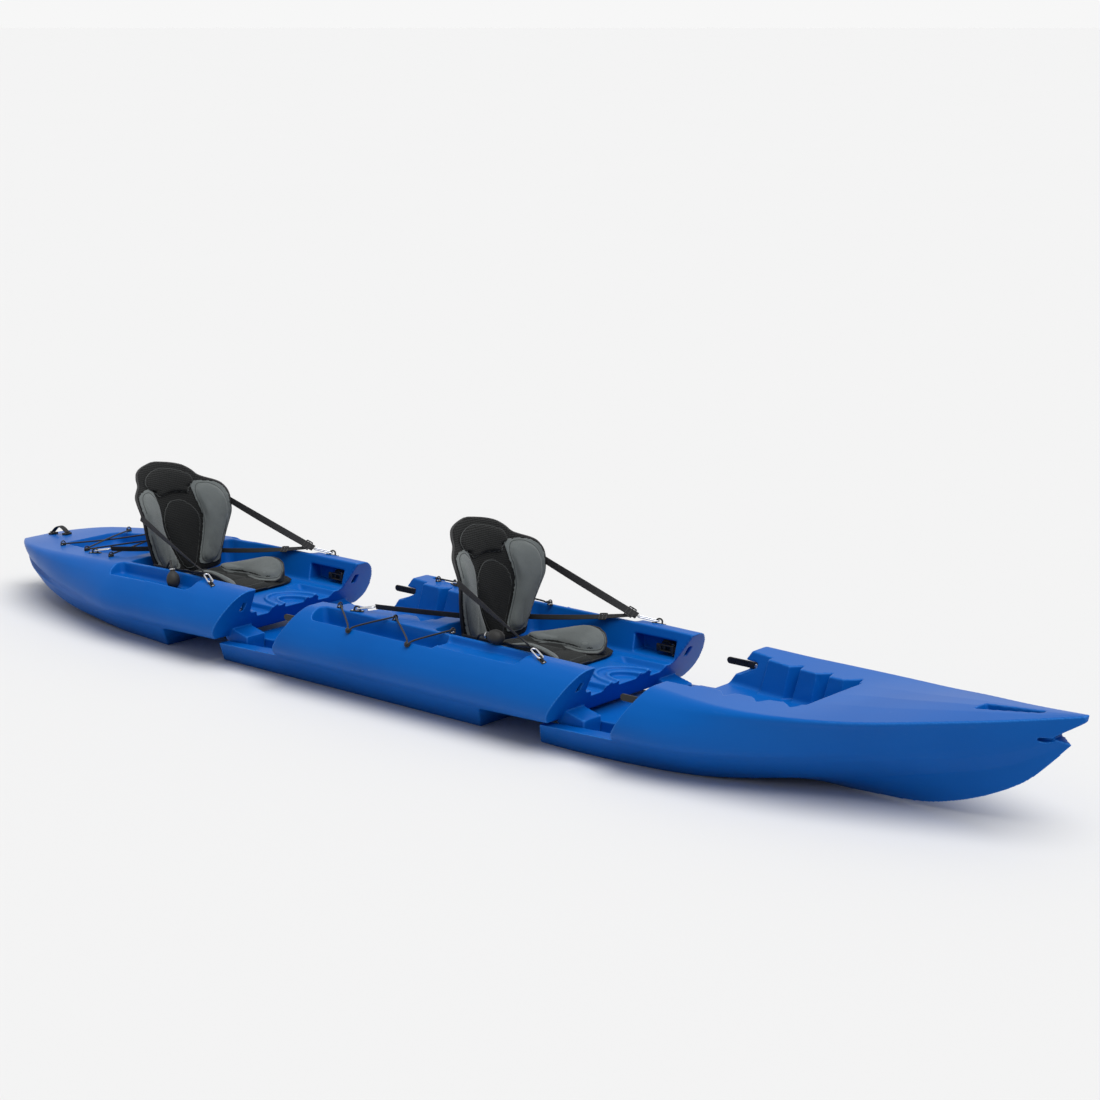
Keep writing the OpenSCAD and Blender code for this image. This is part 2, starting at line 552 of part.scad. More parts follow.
// Webbing from the backrest to a snap hook, and the hook on its pad eye, port side
loop_r = 10;
roll_a = atan((side_z[6] - side_z[5]) * (depth - crease_h) / ((side_y[5] - side_y[6]) * half_beam));
eye_x = 292;
eye_y = (side_y[5] + side_y[6]) / 2 * half_beam;
eye_z = depth - (eye_y - side_y[6] * half_beam) * tan(roll_a) + fit_gap;
hook_run = [-62, -32, 12];
hook_pull = loop_r - eye_r - hook_r - 2.9;
hook_at = [eye_x, eye_y + 2, eye_z + 3 + loop_r * 0.62] + hook_pull * unit(hook_run);
hook_to = hook_at + hook_run;
module front_strap() {
    off = web_t / 2 + fit_gap / 2;
    up = [back_mid(back_w(0.57), 0.57) - 6, back_w(0.62) + off, back_z + rise(0.57)];
    low = [back_mid(back_w(0.14), 0.14) - 2, back_w(0.17) + off, back_z + rise(0.14)];
    stop = hook_to + (hook_r + 0.8) * unit(hook_run);
    ribbon([up, mix(up, stop, 0.5), stop], web_w, web_t, [0.3, 0, 1]);
    ribbon([low, mix(low, stop, 0.5), stop + [-6, 0, 3]], web_w * 0.7, web_t, [-0.2, 0, 1]);
}
module oval_hook(a, b, w) {
    t = unit(b - a);
    s = unit(cross(t, [0, 0, 1]));
    l = norm(b - a) / 2 - w;
    c = (a + b) / 2;
    line(concat([for (q = arc([l, 0], w, -90, 90, 4)) c + q[0] * t + q[1] * s],
        [for (q = arc([-l, 0], w, 90, 270, 4)) c + q[0] * t + q[1] * s]), hook_r, cross(s, t), true);
}
module snap_hook() {
    oval_hook(hook_to, hook_at, 9);
}
// Plate with a standing loop, at the origin on Z = 0, loop across X
module pad_eye(l = 46) {
    translate([-l / 2, -8, 0]) cube([l, 16, 3]);
    line(concat([[-loop_r, 0, 1]], [for (q = arc([0, 7], loop_r, 180, 0, 5)) [q[0], 0, q[1]]],
        [[loop_r, 0, 1]]),
        eye_r, [0, 1, 0]);
}
// Aft webbing from the backrest to a hook on its eye at a place and height
aft_run = [58, -24, 20];
// Share of the backrest height where the aft webbing is sewn, just over the rim
sewn_up = 8.68;
aft_v = (depth - floor_z + sewn_up) / back_h;
function aft_tip(ex, ey, ez) = [ex, ey, ez + 3 + loop_r * 0.62] + hook_pull * unit(aft_run);
function aft_from(ex, ey, ez) = [ex, ey, ez] + aft_run;
module aft_strap(ex, ey, ez) {
    a = aft_from(ex, ey, ez) + (hook_r + 0.8) * unit(aft_run);
    b = [back_mid(112, aft_v) - back_t / 2 - 1.5 - 4.3 * $lean, 112, back_z + rise(aft_v)];
    ribbon([a, mix(a, b, 0.5) - [0, 0, 1], b], web_w * 0.8, web_t, [0, 1, 0.15]);
}
module aft_hook(ex, ey, ez) {
    oval_hook(aft_from(ex, ey, ez), aft_tip(ex, ey, ez), 9);
}
// Small loop plate for the bungees, loop across Y
module cord_eye() {
    translate([-8, -8, 0]) cube([16, 16, 3]);
    line(concat([[0, -loop_r, 1]], [for (q = arc([0, 7], loop_r, 180, 0, 4)) [0, q[0], q[1]]],
        [[0, loop_r, 1]]),
        eye_r * 0.7, [1, 0, 0]);
}
// Round-headed stud on the outer roll of the gunwale
module knob() {
    rotate_extrude() polygon([[0, 0], [8, 0], [8, 2], [4, 3], [4, 9.5], [8, 10], [7, 14], [0, 15.6]]);
}
function deck(s) = let (h = half(s)) h[len(h) - 1][1];
function rail(s) = let (h = half(s)) h[9][1];
function fall(s) = atan((rail(s + 20) - rail(s - 20)) / 40);

// Tank-well bungee: two crossing runs through six eyes
tank_s = [-700, -520, -340];
tank_y = [160, 190, 222];
function turn(s, y) = let (z = rail(s) + 3 * fit_gap + 3 + bungee_r, k = y > 0 ? 1 : -1)
    [[s - 7, y - 5 * k, z], [s, y, z], [s + 7, y - 5 * k, z]];
function over(k, i) = [mix(tank_s[i], tank_s[i + 1], 0.46), 0,
    mix(rail(tank_s[i]), rail(tank_s[i + 1]), 0.46) + 6 + k * (bungee_r + 0.6)];
module tank_bungee() {
    for (k = [1, -1]) line(concat(turn(tank_s[0], tank_y[0] * k), [over(k, 0)],
        turn(tank_s[1], -tank_y[1] * k), [over(k, 1)], turn(tank_s[2], tank_y[2] * k)), bungee_r);
}
module tank_eyes() {
    for (i = [0:2], k = [1, -1]) translate([tank_s[i], tank_y[i] * k, rail(tank_s[i]) + fit_gap])
        rotate([0, -fall(tank_s[i]), 0]) cord_eye();
}
// Side-trough bungee: three eyes inboard, two studs outboard, port side
eye_s = [575, 832, 1088];
knob_s = [718, 986];
cord_y = well_y - 14;
side_h = depth - crease_h;
knob_p = [(side_y[3] + side_y[4]) / 2 * half_beam, crease_h + (side_z[3] + side_z[4]) / 2 * side_h];
knob_n = unit([(side_z[4] - side_z[3]) * side_h, (side_y[3] - side_y[4]) * half_beam]);
module trough_bungee() {
    z = depth + fit_gap + 3 + loop_r * 0.62;
    function peg(s) = let (c = knob_p + 6.7 * knob_n, r = 4.8 + bungee_r, d = [knob_n[1], -knob_n[0]] * r)
        [[s - 18, c[0] - 16, c[1] + 13], [s - r, c[0], c[1]],
            [s - 0.7 * r, c[0] + d[0] * 0.75, c[1] + d[1] * 0.75],
        [s, c[0] + d[0], c[1] + d[1]], [s + 0.7 * r, c[0] + d[0] * 0.75, c[1] + d[1] * 0.75],
        [s + r, c[0], c[1]], [s + 18, c[0] - 16, c[1] + 13]];
    line(concat([[eye_s[0] - 9, cord_y, z], [eye_s[0] + 4, cord_y + 2, z]], peg(knob_s[0]),
        [[eye_s[1] - 7, cord_y + 4, z], [eye_s[1], cord_y, z], [eye_s[1] + 7, cord_y + 4, z]], peg(knob_s[1]),
        [[eye_s[2] - 4, cord_y + 2, z], [eye_s[2] + 9, cord_y, z]]), bungee_r, [0.1, 0.2, 1]);
}
module trough_fittings() {
    both() {
        for (s = eye_s) translate([s, cord_y, depth + fit_gap]) cord_eye();
        for (s = knob_s) translate([s, knob_p[0], knob_p[1]]) rotate([-atan2(knob_n[0], knob_n[1]), 0, 0])
            translate([0, 0, fit_gap]) knob();
    }
}
// Carry strap at the stern with a fitting under each end
grip_t = [0.85, 0.775];
function grip(i, up) = [-grip_t[i] * stern_len, 0, deck(-grip_t[i] * stern_len) + up];
module stern_handle_strap() {
    a = grip(0, 11);
    b = grip(1, 11);
    tail = 8 * unit(b - a);
    ribbon(concat([a - tail], [for (i = [0:8]) mix(a, b, i / 8) + [0, 0, 22 * sin(180 * i / 8)]], [b + tail]),
        web_w * 0.88, 4, [0, 1, 0]);
}
module handle_ends() {
    run = grip(1, 0) - grip(0, 0);
    for (i = [0, 1]) translate(grip(i, fit_gap)) rotate([0, -atan(run[2] / run[0]), 0])
        translate([-13, -15, 0]) cube([26, 30, 8]);
}

// Frames: tongue ends of mid and bow, keel steps of stern and mid
module at_mid() {
    translate([mid_x, 0, 0]) children();
}
module at_bow() {
    translate([bow_x + mid_pitch, 0, 0]) children();
}
module at_rear() {
    $lean = rear_recline;
    translate([stern_x, 0, 0]) children();
}
module at_front() {
    $lean = front_recline;
    translate([mid_x + mid_pitch, 0, 0]) children();
}
module other() {
    mirror([0, 1, 0]) children();
}
rear_bulb = [96, -(trough_y + trough_w / 2 - 6), depth - trough_d + 12 + bulb_r + fit_gap];
front_bulb = [64, -(well_y - 3), depth + bulb_r + fit_gap];
rear_eye = [-452, 206, rail(-452) + fit_gap];
front_eye = [655 - mid_pitch, well_y - 15, depth + fit_gap];
module pad_eyes(aft, tilt) {
    both() {
        translate([eye_x, eye_y, eye_z]) rotate([-roll_a, 0, 0]) rotate(atan(hook_run[1] / hook_run[0]))
            pad_eye();
        translate(aft) rotate([0, -tilt, 0]) rotate(atan(aft_run[1] / aft_run[0])) pad_eye();
    }
}

module mid_ladder_strap_port() {
    color(black) at_mid() ladder_strap();
}
module mid_ladder_strap_starboard() {
    color(black) at_mid() other() ladder_strap();
}
module mid_strap_bolts() {
    color(steel) at_mid() both() strap_bolt();
}
module bow_ladder_strap_port() {
    color(black) at_bow() ladder_strap();
}
module bow_ladder_strap_starboard() {
    color(black) at_bow() other() ladder_strap();
}
module bow_strap_bolts() {
    color(steel) at_bow() both() strap_bolt();
}
module stern_ratchet_base_port() {
    color(black) at_rear() ratchet_base();
}
module stern_ratchet_lever_port() {
    color(black) at_rear() ratchet_lever();
}
module stern_ratchet_base_starboard() {
    color(black) at_rear() other() ratchet_base();
}
module stern_ratchet_lever_starboard() {
    color(black) at_rear() other() ratchet_lever();
}
module mid_ratchet_base_port() {
    color(black) at_front() ratchet_base();
}
module mid_ratchet_lever_port() {
    color(black) at_front() ratchet_lever();
}
module mid_ratchet_base_starboard() {
    color(black) at_front() other() ratchet_base();
}
module mid_ratchet_lever_starboard() {
    color(black) at_front() other() ratchet_lever();
}
module rear_seat_pad() {
    color(black) at_rear() seat_pad();
}
module rear_thigh_bolster_port() {
    color(grey) at_rear() thigh_bolster();
}
module rear_thigh_bolster_starboard() {
    color(grey) at_rear() other() thigh_bolster();
}
module rear_back_panel() {
    color(black) at_rear() back_panel();
}
module rear_head_pad() {
    color(black) at_rear() head_pad();
}
module rear_back_bolster_port() {
    color(grey) at_rear() back_bolster();
}
module rear_back_bolster_starboard() {
    color(grey) at_rear() other() back_bolster();
}
module rear_pump() {
    color(black) at_rear() pump(rear_bulb);
}
module rear_hose() {
    color(black) at_rear() hose(rear_bulb);
}
module rear_side_strap_port() {
    color(black) at_rear() front_strap();
}
module rear_side_strap_starboard() {
    color(black) at_rear() other() front_strap();
}
module rear_snap_hooks() {
    color(steel) at_rear() both() snap_hook();
}
module rear_aft_strap_port() {
    color(black) at_rear() aft_strap(rear_eye[0], rear_eye[1], rear_eye[2]);
}
module rear_aft_strap_starboard() {
    color(black) at_rear() other() aft_strap(rear_eye[0], rear_eye[1], rear_eye[2]);
}
module rear_aft_hooks() {
    color(steel) at_rear() both() aft_hook(rear_eye[0], rear_eye[1], rear_eye[2]);
}
module stern_pad_eyes() {
    color(black) at_rear() pad_eyes(rear_eye, fall(rear_eye[0]));
}
module front_seat_pad() {
    color(black) at_front() seat_pad();
}
module front_thigh_bolster_port() {
    color(grey) at_front() thigh_bolster();
}
module front_thigh_bolster_starboard() {
    color(grey) at_front() other() thigh_bolster();
}
module front_back_panel() {
    color(black) at_front() back_panel();
}
module front_head_pad() {
    color(black) at_front() head_pad();
}
module front_back_bolster_port() {
    color(grey) at_front() back_bolster();
}
module front_back_bolster_starboard() {
    color(grey) at_front() other() back_bolster();
}
module front_pump() {
    color(black) at_front() pump(front_bulb);
}
module front_hose() {
    color(black) at_front() hose(front_bulb);
}
module front_side_strap_port() {
    color(black) at_front() front_strap();
}
module front_side_strap_starboard() {
    color(black) at_front() other() front_strap();
}
module front_snap_hooks() {
    color(steel) at_front() both() snap_hook();
}
module front_aft_strap_port() {
    color(black) at_front() aft_strap(front_eye[0], front_eye[1], front_eye[2]);
}
module front_aft_strap_starboard() {
    color(black) at_front() other() aft_strap(front_eye[0], front_eye[1], front_eye[2]);
}
module front_aft_hooks() {
    color(steel) at_front() both() aft_hook(front_eye[0], front_eye[1], front_eye[2]);
}
module mid_pad_eyes() {
    color(black) at_front() pad_eyes(front_eye, 0);
}
module stern_bungee() {
    color(black) at_rear() tank_bungee();
}
module stern_bungee_eyes() {
    color(black) at_rear() tank_eyes();
}
module mid_bungee_port() {
    color(black) at_mid() trough_bungee();
}
module mid_bungee_starboard() {
    color(black) at_mid() other() trough_bungee();
}
module mid_bungee_fittings() {
    color(steel) at_mid() trough_fittings();
}
module stern_handle() {
    color(black) at_rear() stern_handle_strap();
}
module stern_handle_ends() {
    color(black) at_rear() handle_ends();
}

stern_hull();
mid_hull();
bow_hull();
mid_ladder_strap_port();
mid_ladder_strap_starboard();
mid_strap_bolts();
bow_ladder_strap_port();
bow_ladder_strap_starboard();
bow_strap_bolts();
stern_ratchet_base_port();
stern_ratchet_lever_port();
stern_ratchet_base_starboard();
stern_ratchet_lever_starboard();
mid_ratchet_base_port();
mid_ratchet_lever_port();
mid_ratchet_base_starboard();
mid_ratchet_lever_starboard();
rear_seat_pad();
rear_thigh_bolster_port();
rear_thigh_bolster_starboard();
rear_back_panel();
rear_head_pad();
rear_back_bolster_port();
rear_back_bolster_starboard();
rear_pump();
rear_hose();
rear_side_strap_port();
rear_side_strap_starboard();
rear_snap_hooks();
rear_aft_strap_port();
rear_aft_strap_starboard();
rear_aft_hooks();
stern_pad_eyes();
front_seat_pad();
front_thigh_bolster_port();
front_thigh_bolster_starboard();
front_back_panel();
front_head_pad();
front_back_bolster_port();
front_back_bolster_starboard();
front_pump();
front_hose();
front_side_strap_port();
front_side_strap_starboard();
front_snap_hooks();
front_aft_strap_port();
front_aft_strap_starboard();
front_aft_hooks();
mid_pad_eyes();
stern_bungee();
stern_bungee_eyes();
mid_bungee_port();
mid_bungee_starboard();
mid_bungee_fittings();
stern_handle();
stern_handle_ends();
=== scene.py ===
import bpy
import math
from mathutils import Matrix, Vector


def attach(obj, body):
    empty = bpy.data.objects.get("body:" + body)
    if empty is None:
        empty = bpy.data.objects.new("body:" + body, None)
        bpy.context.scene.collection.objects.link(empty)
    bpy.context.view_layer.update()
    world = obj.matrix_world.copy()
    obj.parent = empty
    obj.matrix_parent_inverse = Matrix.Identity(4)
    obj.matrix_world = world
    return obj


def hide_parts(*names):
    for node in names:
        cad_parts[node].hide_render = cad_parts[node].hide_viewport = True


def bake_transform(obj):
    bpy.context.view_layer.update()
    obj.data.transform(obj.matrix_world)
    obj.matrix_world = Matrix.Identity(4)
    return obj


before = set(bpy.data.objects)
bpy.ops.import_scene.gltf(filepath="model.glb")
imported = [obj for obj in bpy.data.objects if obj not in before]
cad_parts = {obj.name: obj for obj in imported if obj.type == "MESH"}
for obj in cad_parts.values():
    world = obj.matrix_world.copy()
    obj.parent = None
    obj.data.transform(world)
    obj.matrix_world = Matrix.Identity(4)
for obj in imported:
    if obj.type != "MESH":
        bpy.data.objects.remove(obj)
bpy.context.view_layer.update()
mm = 0.001
overBoat = Matrix.Diagonal((1, -1, 1, 1))    # port to starboard

# where each section's own zero lies along the boat, in mm
sternX, midX, frontX, bowX = -1188.0, -888.5, 330.5, 582.0


# small tools for modelling by hand in code
def pick(obj):
    if bpy.context.object and bpy.context.object.mode != "OBJECT":
        bpy.ops.object.mode_set(mode="OBJECT")
    bpy.ops.object.select_all(action="DESELECT")
    obj.select_set(True)
    bpy.context.view_layer.objects.active = obj
    return obj


def newest(name):
    obj = bpy.context.object
    obj.name = obj.data.name = name
    return obj


# a new primitive, with nothing else selected
def added(name, operator, **settings):
    bpy.ops.object.select_all(action="DESELECT")
    operator(**settings)
    return newest(name)


def modify(obj, kind, **settings):
    mod = obj.modifiers.new(kind.lower(), kind)
    for key, value in settings.items():
        setattr(mod, key, value)
    pick(obj)
    bpy.ops.object.modifier_apply(modifier=mod.name)
    return obj


def editAll(obj, action="SELECT"):
    pick(obj)
    bpy.ops.object.mode_set(mode="EDIT")
    bpy.ops.mesh.select_all(action=action)


def editDone(obj):
    bpy.ops.object.mode_set(mode="OBJECT")
    return obj


# bevel on the edges whose two ends pass a test
def bevelEdges(obj, test, offset, segments=4):
    editAll(obj, "DESELECT")
    bpy.ops.mesh.select_mode(type="EDGE")
    editDone(obj)
    points = obj.data.vertices
    for edge in obj.data.edges:
        a, b = edge.vertices
        edge.select = bool(test(points[a].co, points[b].co))
    bpy.ops.object.mode_set(mode="EDIT")
    bpy.ops.mesh.bevel(offset=offset, segments=segments, affect="EDGES", profile=0.5, clamp_overlap=True)
    return editDone(obj)


def outwards(obj, merge=1e-5):
    editAll(obj)
    bpy.ops.mesh.remove_doubles(threshold=merge)
    bpy.ops.mesh.normals_make_consistent(inside=False)
    return editDone(obj)


def smoothLook(obj, angle=None):
    pick(obj)
    if angle is None:
        bpy.ops.object.shade_smooth()
    else:
        bpy.ops.object.shade_smooth_by_angle(angle=math.radians(angle))
    return obj


# a grid sheet laid to any shape and closed at its ends: place(u, v) gives a point in mm
def laidGrid(name, acrossCount, alongCount, place):
    obj = added(name, bpy.ops.mesh.primitive_grid_add, x_subdivisions=acrossCount,
                y_subdivisions=alongCount, size=2)
    for point in obj.data.vertices:
        u, v = (point.co.x + 1) / 2, (point.co.y + 1) / 2
        point.co = Vector(place(u, v)) * mm
    editAll(obj)
    bpy.ops.mesh.remove_doubles(threshold=1e-6)
    bpy.ops.mesh.select_all(action="DESELECT")
    bpy.ops.mesh.select_mode(type="EDGE")
    bpy.ops.mesh.select_non_manifold(extend=False, use_wire=False, use_boundary=True, use_multi_face=False,
                                     use_non_contiguous=False, use_verts=False)
    bpy.ops.mesh.edge_face_add()
    bpy.ops.mesh.select_all(action="SELECT")
    bpy.ops.mesh.normals_make_consistent(inside=False)
    return editDone(obj)


# a solid between two outlines with the same number of corners, in mm
def prism(name, low, high):
    count = len(low)
    obj = added(name, bpy.ops.mesh.primitive_circle_add, vertices=count, radius=1, fill_type="NGON")
    editAll(obj)
    bpy.ops.mesh.extrude_region_move(TRANSFORM_OT_translate={"value": (0, 0, 1)})
    editDone(obj)
    step = 2 * math.pi / count
    first = math.atan2(obj.data.vertices[0].co.y, obj.data.vertices[0].co.x)
    for point in obj.data.vertices:
        k = round((math.atan2(point.co.y, point.co.x) - first) / step) % count
        point.co = Vector((high if point.co.z > 0.5 else low)[k]) * mm
    return outwards(obj)


def level(outline, z, x0=0):
    return [(x0 + x, y, z) for x, y in outline]


def upright(outline, y, x0=0, z0=0):
    return [(x0 + x, y, z0 + z) for x, z in outline]


def mirrored(outline):
    return [(x, -y) for x, y in outline]


def cut(obj, tools, operation="DIFFERENCE"):
    for tool in tools:
        modify(obj, "BOOLEAN", object=tool, operation=operation, solver="MANIFOLD")
        bpy.data.objects.remove(tool, do_unlink=True)
    return obj


def copyOf(obj, name, change):
    new = obj.copy()
    new.data = obj.data.copy()
    new.name = new.data.name = name
    bpy.context.scene.collection.objects.link(new)
    new.data.transform(change)
    if change.determinant() < 0:
        new.data.flip_normals()
    return new


# smooth run through a table of (place, value) pairs
def run(t, table):
    i = 0
    while i < len(table) - 2 and t > table[i + 1][0]:
        i += 1

    def rate(k):
        a, b = max(k - 1, 0), min(k + 1, len(table) - 1)
        return (table[b][1] - table[a][1]) / (table[b][0] - table[a][0])
    h = table[i + 1][0] - table[i][0]
    u = max(0.0, min(1.0, (t - table[i][0]) / h))
    v = 1 - u
    return (table[i][1] * (1 + 2 * u) * v * v + table[i + 1][1] * u * u * (3 - 2 * u)
            + h * u * v * (rate(i) * v - rate(i + 1) * u))


def mix(a, b, u):
    return a + (b - a) * u


print("stage: camera and light")
view = {"place": (5.2252, -5.6513, 2.2648), "tilt": 76.972, "turn": 40.462, "lens": 77.75}
bpy.ops.object.camera_add(location=view["place"],
                          rotation=(math.radians(view["tilt"]), 0, math.radians(view["turn"])))
camera = bpy.context.object
camera.data.lens = view["lens"]
camera.data.sensor_width = 36
camera.data.clip_end = 200
scene = bpy.context.scene
scene.camera = camera
scene.view_settings.view_transform = "Standard"

studio = {"skyLow": 0.2, "skyHigh": 0.5, "skyBehind": 0.5, "key": 2.5, "keyTurn": (6, 20, 0),
          "keySoft": 55, "floor": 0.76, "backdrop": 0.93}
bpy.ops.object.light_add(type="SUN", location=(2, -1, 6),
                         rotation=[math.radians(a) for a in studio["keyTurn"]])
key = bpy.context.object
key.data.energy = studio["key"]
key.data.angle = math.radians(studio["keySoft"])


# shader maths: a wrapped socket that takes plus, minus, times and so on
class Wire:
    def __init__(self, finish, socket):
        self.finish, self.socket = finish, socket

    def sum(self, kind, other, turned=False):
        a, b = (other, self) if turned else (self, other)
        return self.finish.node("ShaderNodeMath", {"operation": kind}, {0: a, 1: b})

    def __add__(self, other):
        return self.sum("ADD", other)
    __radd__ = __add__

    def __sub__(self, other):
        return self.sum("SUBTRACT", other)

    def __rsub__(self, other):
        return self.sum("SUBTRACT", other, True)

    def __mul__(self, other):
        return self.sum("MULTIPLY", other)
    __rmul__ = __mul__

    def alone(self, kind):
        return self.finish.node("ShaderNodeMath", {"operation": kind}, {0: self})

    def sine(self):
        return self.alone("SINE")

    def size(self):
        return self.alone("ABSOLUTE")

    def above(self, low, high, a=0.0, b=1.0):
        return self.finish.node("ShaderNodeMapRange", {"clamp": True, "interpolation_type": "SMOOTHSTEP"},
                                {"Value": self, "From Min": low, "From Max": high, "To Min": a, "To Max": b})


class Finish:
    def __init__(self, name, owner=None, shader="Principled BSDF", **constants):
        self.material = owner or bpy.data.materials.new(name)
        self.material.use_nodes = True
        self.tree = self.material.node_tree
        self.shader = self.tree.nodes[shader]
        self.feed(self.shader, constants)

    def feed(self, node, inputs):
        for name, value in inputs.items():
            if isinstance(name, int):
                socket = node.inputs[name]
            else:
                socket = next(s for s in node.inputs if name in (s.identifier, s.name))
            if isinstance(value, Wire):
                self.tree.links.new(value.socket, socket)
            else:
                socket.default_value = value

    def node(self, kind, settings, inputs, out=0):
        node = self.tree.nodes.new(kind)
        for name, value in settings.items():
            setattr(node, name, value)
        self.feed(node, inputs)
        return Wire(self, node.outputs[out])

    def place(self):
        return self.node("ShaderNodeTexCoord", {}, {}, "Object")

    def map(self):
        return self.node("ShaderNodeTexCoord", {}, {}, "UV")

    def parts(self, vector):
        node = self.tree.nodes.new("ShaderNodeSeparateXYZ")
        self.feed(node, {0: vector})
        return [Wire(self, s) for s in node.outputs]

    def stretched(self, vector, scale):
        return self.node("ShaderNodeMapping", {}, {"Vector": vector, "Scale": scale})

    def noise(self, vector, scale, detail=2.0, rough=0.5):
        return self.node("ShaderNodeTexNoise", {}, {"Vector": vector, "Scale": scale, "Detail": detail,
                                                    "Roughness": rough}, 0)

    def colours(self, factor, a, b):
        return self.node("ShaderNodeMix", {"data_type": "RGBA"},
                         {"Factor_Float": factor, "A_Color": a, "B_Color": b}, 2)

    def bump(self, height, strength, depth):
        self.feed(self.shader, {"Normal": self.node("ShaderNodeBump", {}, {
            "Height": height, "Strength": strength, "Distance": depth})})


print("stage: finishes")


# blue moulded hull: faint cloudiness, fine moulding grain, scuffs low down, and a painted highlight of paler
# blue along convex edges
def hullFinish():
    f = Finish("hullBlue", **{"IOR": 1.5, "Specular IOR Level": 0.1})
    p = f.place()
    cloud = f.noise(p, 2.2, 4.0)
    grain = f.noise(p, 420.0, 2.0)
    scuff = f.noise(f.stretched(p, (9, 60, 90)), 1.0, 5.0, 0.62).above(0.6, 0.74)
    low = 1 - f.parts(p)[2].above(0.02, 0.2)
    wear = scuff * (0.25 + 0.75 * low)
    base = f.colours(cloud.above(0.3, 0.7), (0.0006, 0.094, 0.4, 1), (0.0014, 0.109, 0.445, 1))
    # painted highlight: convex edges, found by pointiness, are mixed towards a paler blue
    edge = f.node("ShaderNodeNewGeometry", {}, {}, "Pointiness").above(0.515, 0.56, 0, 0.4)
    base = f.colours(edge, base, (0.06, 0.27, 0.74, 1))
    base = f.colours(wear * 0.16, base, (0.12, 0.26, 0.5, 1))
    f.feed(f.shader, {"Base Color": base, "Roughness": 0.34 + 0.08 * cloud + 0.14 * wear})
    f.bump(grain + 0.6 * scuff, 0.1, 0.0006)
    return f.material


def clothFinish(name, dark, light, thread, depth, rough=0.85, heather=0.4, sheen=0.2):
    f = Finish(name, **{"Roughness": rough, "Sheen Weight": sheen, "Sheen Roughness": 0.5,
                        "Specular IOR Level": 0.2})
    p = f.place()
    x, y, z = f.parts(p)
    a = ((y + 0.35 * x) * thread).sine()
    b = ((z + 0.5 * x) * thread).sine()
    weave = a * b
    fleck = f.noise(p, 900.0, 2.0)
    cloud = f.noise(p, 14.0, 3.0)
    shade = weave * 0.25 + fleck * heather + cloud * 0.5
    f.feed(f.shader, {"Base Color": f.colours(shade.above(0.1, 0.85), dark, light)})
    f.bump(weave * 0.6 + fleck * 0.8, 0.5, depth)
    return f.material


# open knit over foam: staggered cells with dark gaps
def knitFinish():
    f = Finish("knitBlack", **{"Sheen Weight": 0.04, "Sheen Roughness": 0.45, "Specular IOR Level": 0.15})
    p = f.place()
    y, z = f.parts(p)[1:]
    flat = f.node("ShaderNodeCombineXYZ", {}, {"X": y, "Y": z, "Z": 0.0})
    cells = f.node("ShaderNodeTexBrick", {"offset": 0.5, "squash": 1.0}, {
        "Vector": flat, "Scale": 1.0, "Mortar Size": 0.0013, "Mortar Smooth": 0.6, "Brick Width": 0.0115,
        "Row Height": 0.0058}, "Fac")
    fleck = f.noise(p, 700.0, 2.0)
    base = f.colours(cells, (0.0108, 0.0118, 0.0121, 1), (0.0022, 0.0024, 0.0025, 1))
    f.feed(f.shader, {"Base Color": base, "Roughness": 0.62 + 0.3 * cells})
    f.bump((1 - cells) + fleck * 0.25, 0.6, 0.0012)
    return f.material


def webbingFinish():
    f = Finish("webbingBlack", **{"Roughness": 0.7, "Sheen Weight": 0.06, "Specular IOR Level": 0.2})
    u, v = f.parts(f.map())[:2]
    ribs = (v * 75.0).sine().size()
    picks = (u * 2400.0).sine()
    fleck = f.noise(f.place(), 1200.0, 2.0)
    shade = ribs * 0.6 + fleck * 0.4
    f.feed(f.shader, {"Base Color": f.colours(shade, (0.008, 0.008, 0.009, 1), (0.03, 0.03, 0.032, 1))})
    f.bump(ribs + picks * 0.3, 0.5, 0.0005)
    return f.material


def plasticFinish(name, colour, rough, grainScale=600.0, grainDepth=0.0002):
    f = Finish(name, **{"Specular IOR Level": 0.35})
    p = f.place()
    grain = f.noise(p, grainScale, 2.0)
    cloud = f.noise(p, 25.0, 3.0)
    pale = tuple(min(1, c * 1.7 + 0.006) for c in colour) + (1,)
    base = f.colours(cloud.above(0.35, 0.8) * 0.5, colour + (1,), pale)
    f.feed(f.shader, {"Base Color": base, "Roughness": rough - 0.08 + 0.16 * cloud})
    f.bump(grain, 0.35, grainDepth)
    return f.material


def steelFinish():
    f = Finish("steelBright", Metallic=1.0)
    p = f.place()
    brushed = f.noise(f.stretched(p, (60, 900, 900)), 1.0, 4.0)
    base = f.colours(brushed, (0.5, 0.51, 0.53, 1), (0.72, 0.73, 0.75, 1))
    f.feed(f.shader, {"Base Color": base, "Roughness": 0.18 + 0.2 * brushed})
    f.bump(brushed, 0.1, 0.0001)
    return f.material


def bungeeFinish():
    f = Finish("bungeeBlack", **{"Roughness": 0.6, "Sheen Weight": 0.08, "Specular IOR Level": 0.25})
    u, v = f.parts(f.map())[:2]
    turns, plait = 12.566, 700.0
    braid = (u * plait + v * turns).sine() * (u * plait - v * turns).sine()
    shade = braid.above(-0.4, 0.8)
    f.feed(f.shader, {"Base Color": f.colours(shade, (0.006, 0.006, 0.007, 1), (0.032, 0.032, 0.034, 1))})
    f.bump(braid, 0.5, 0.0006)
    return f.material


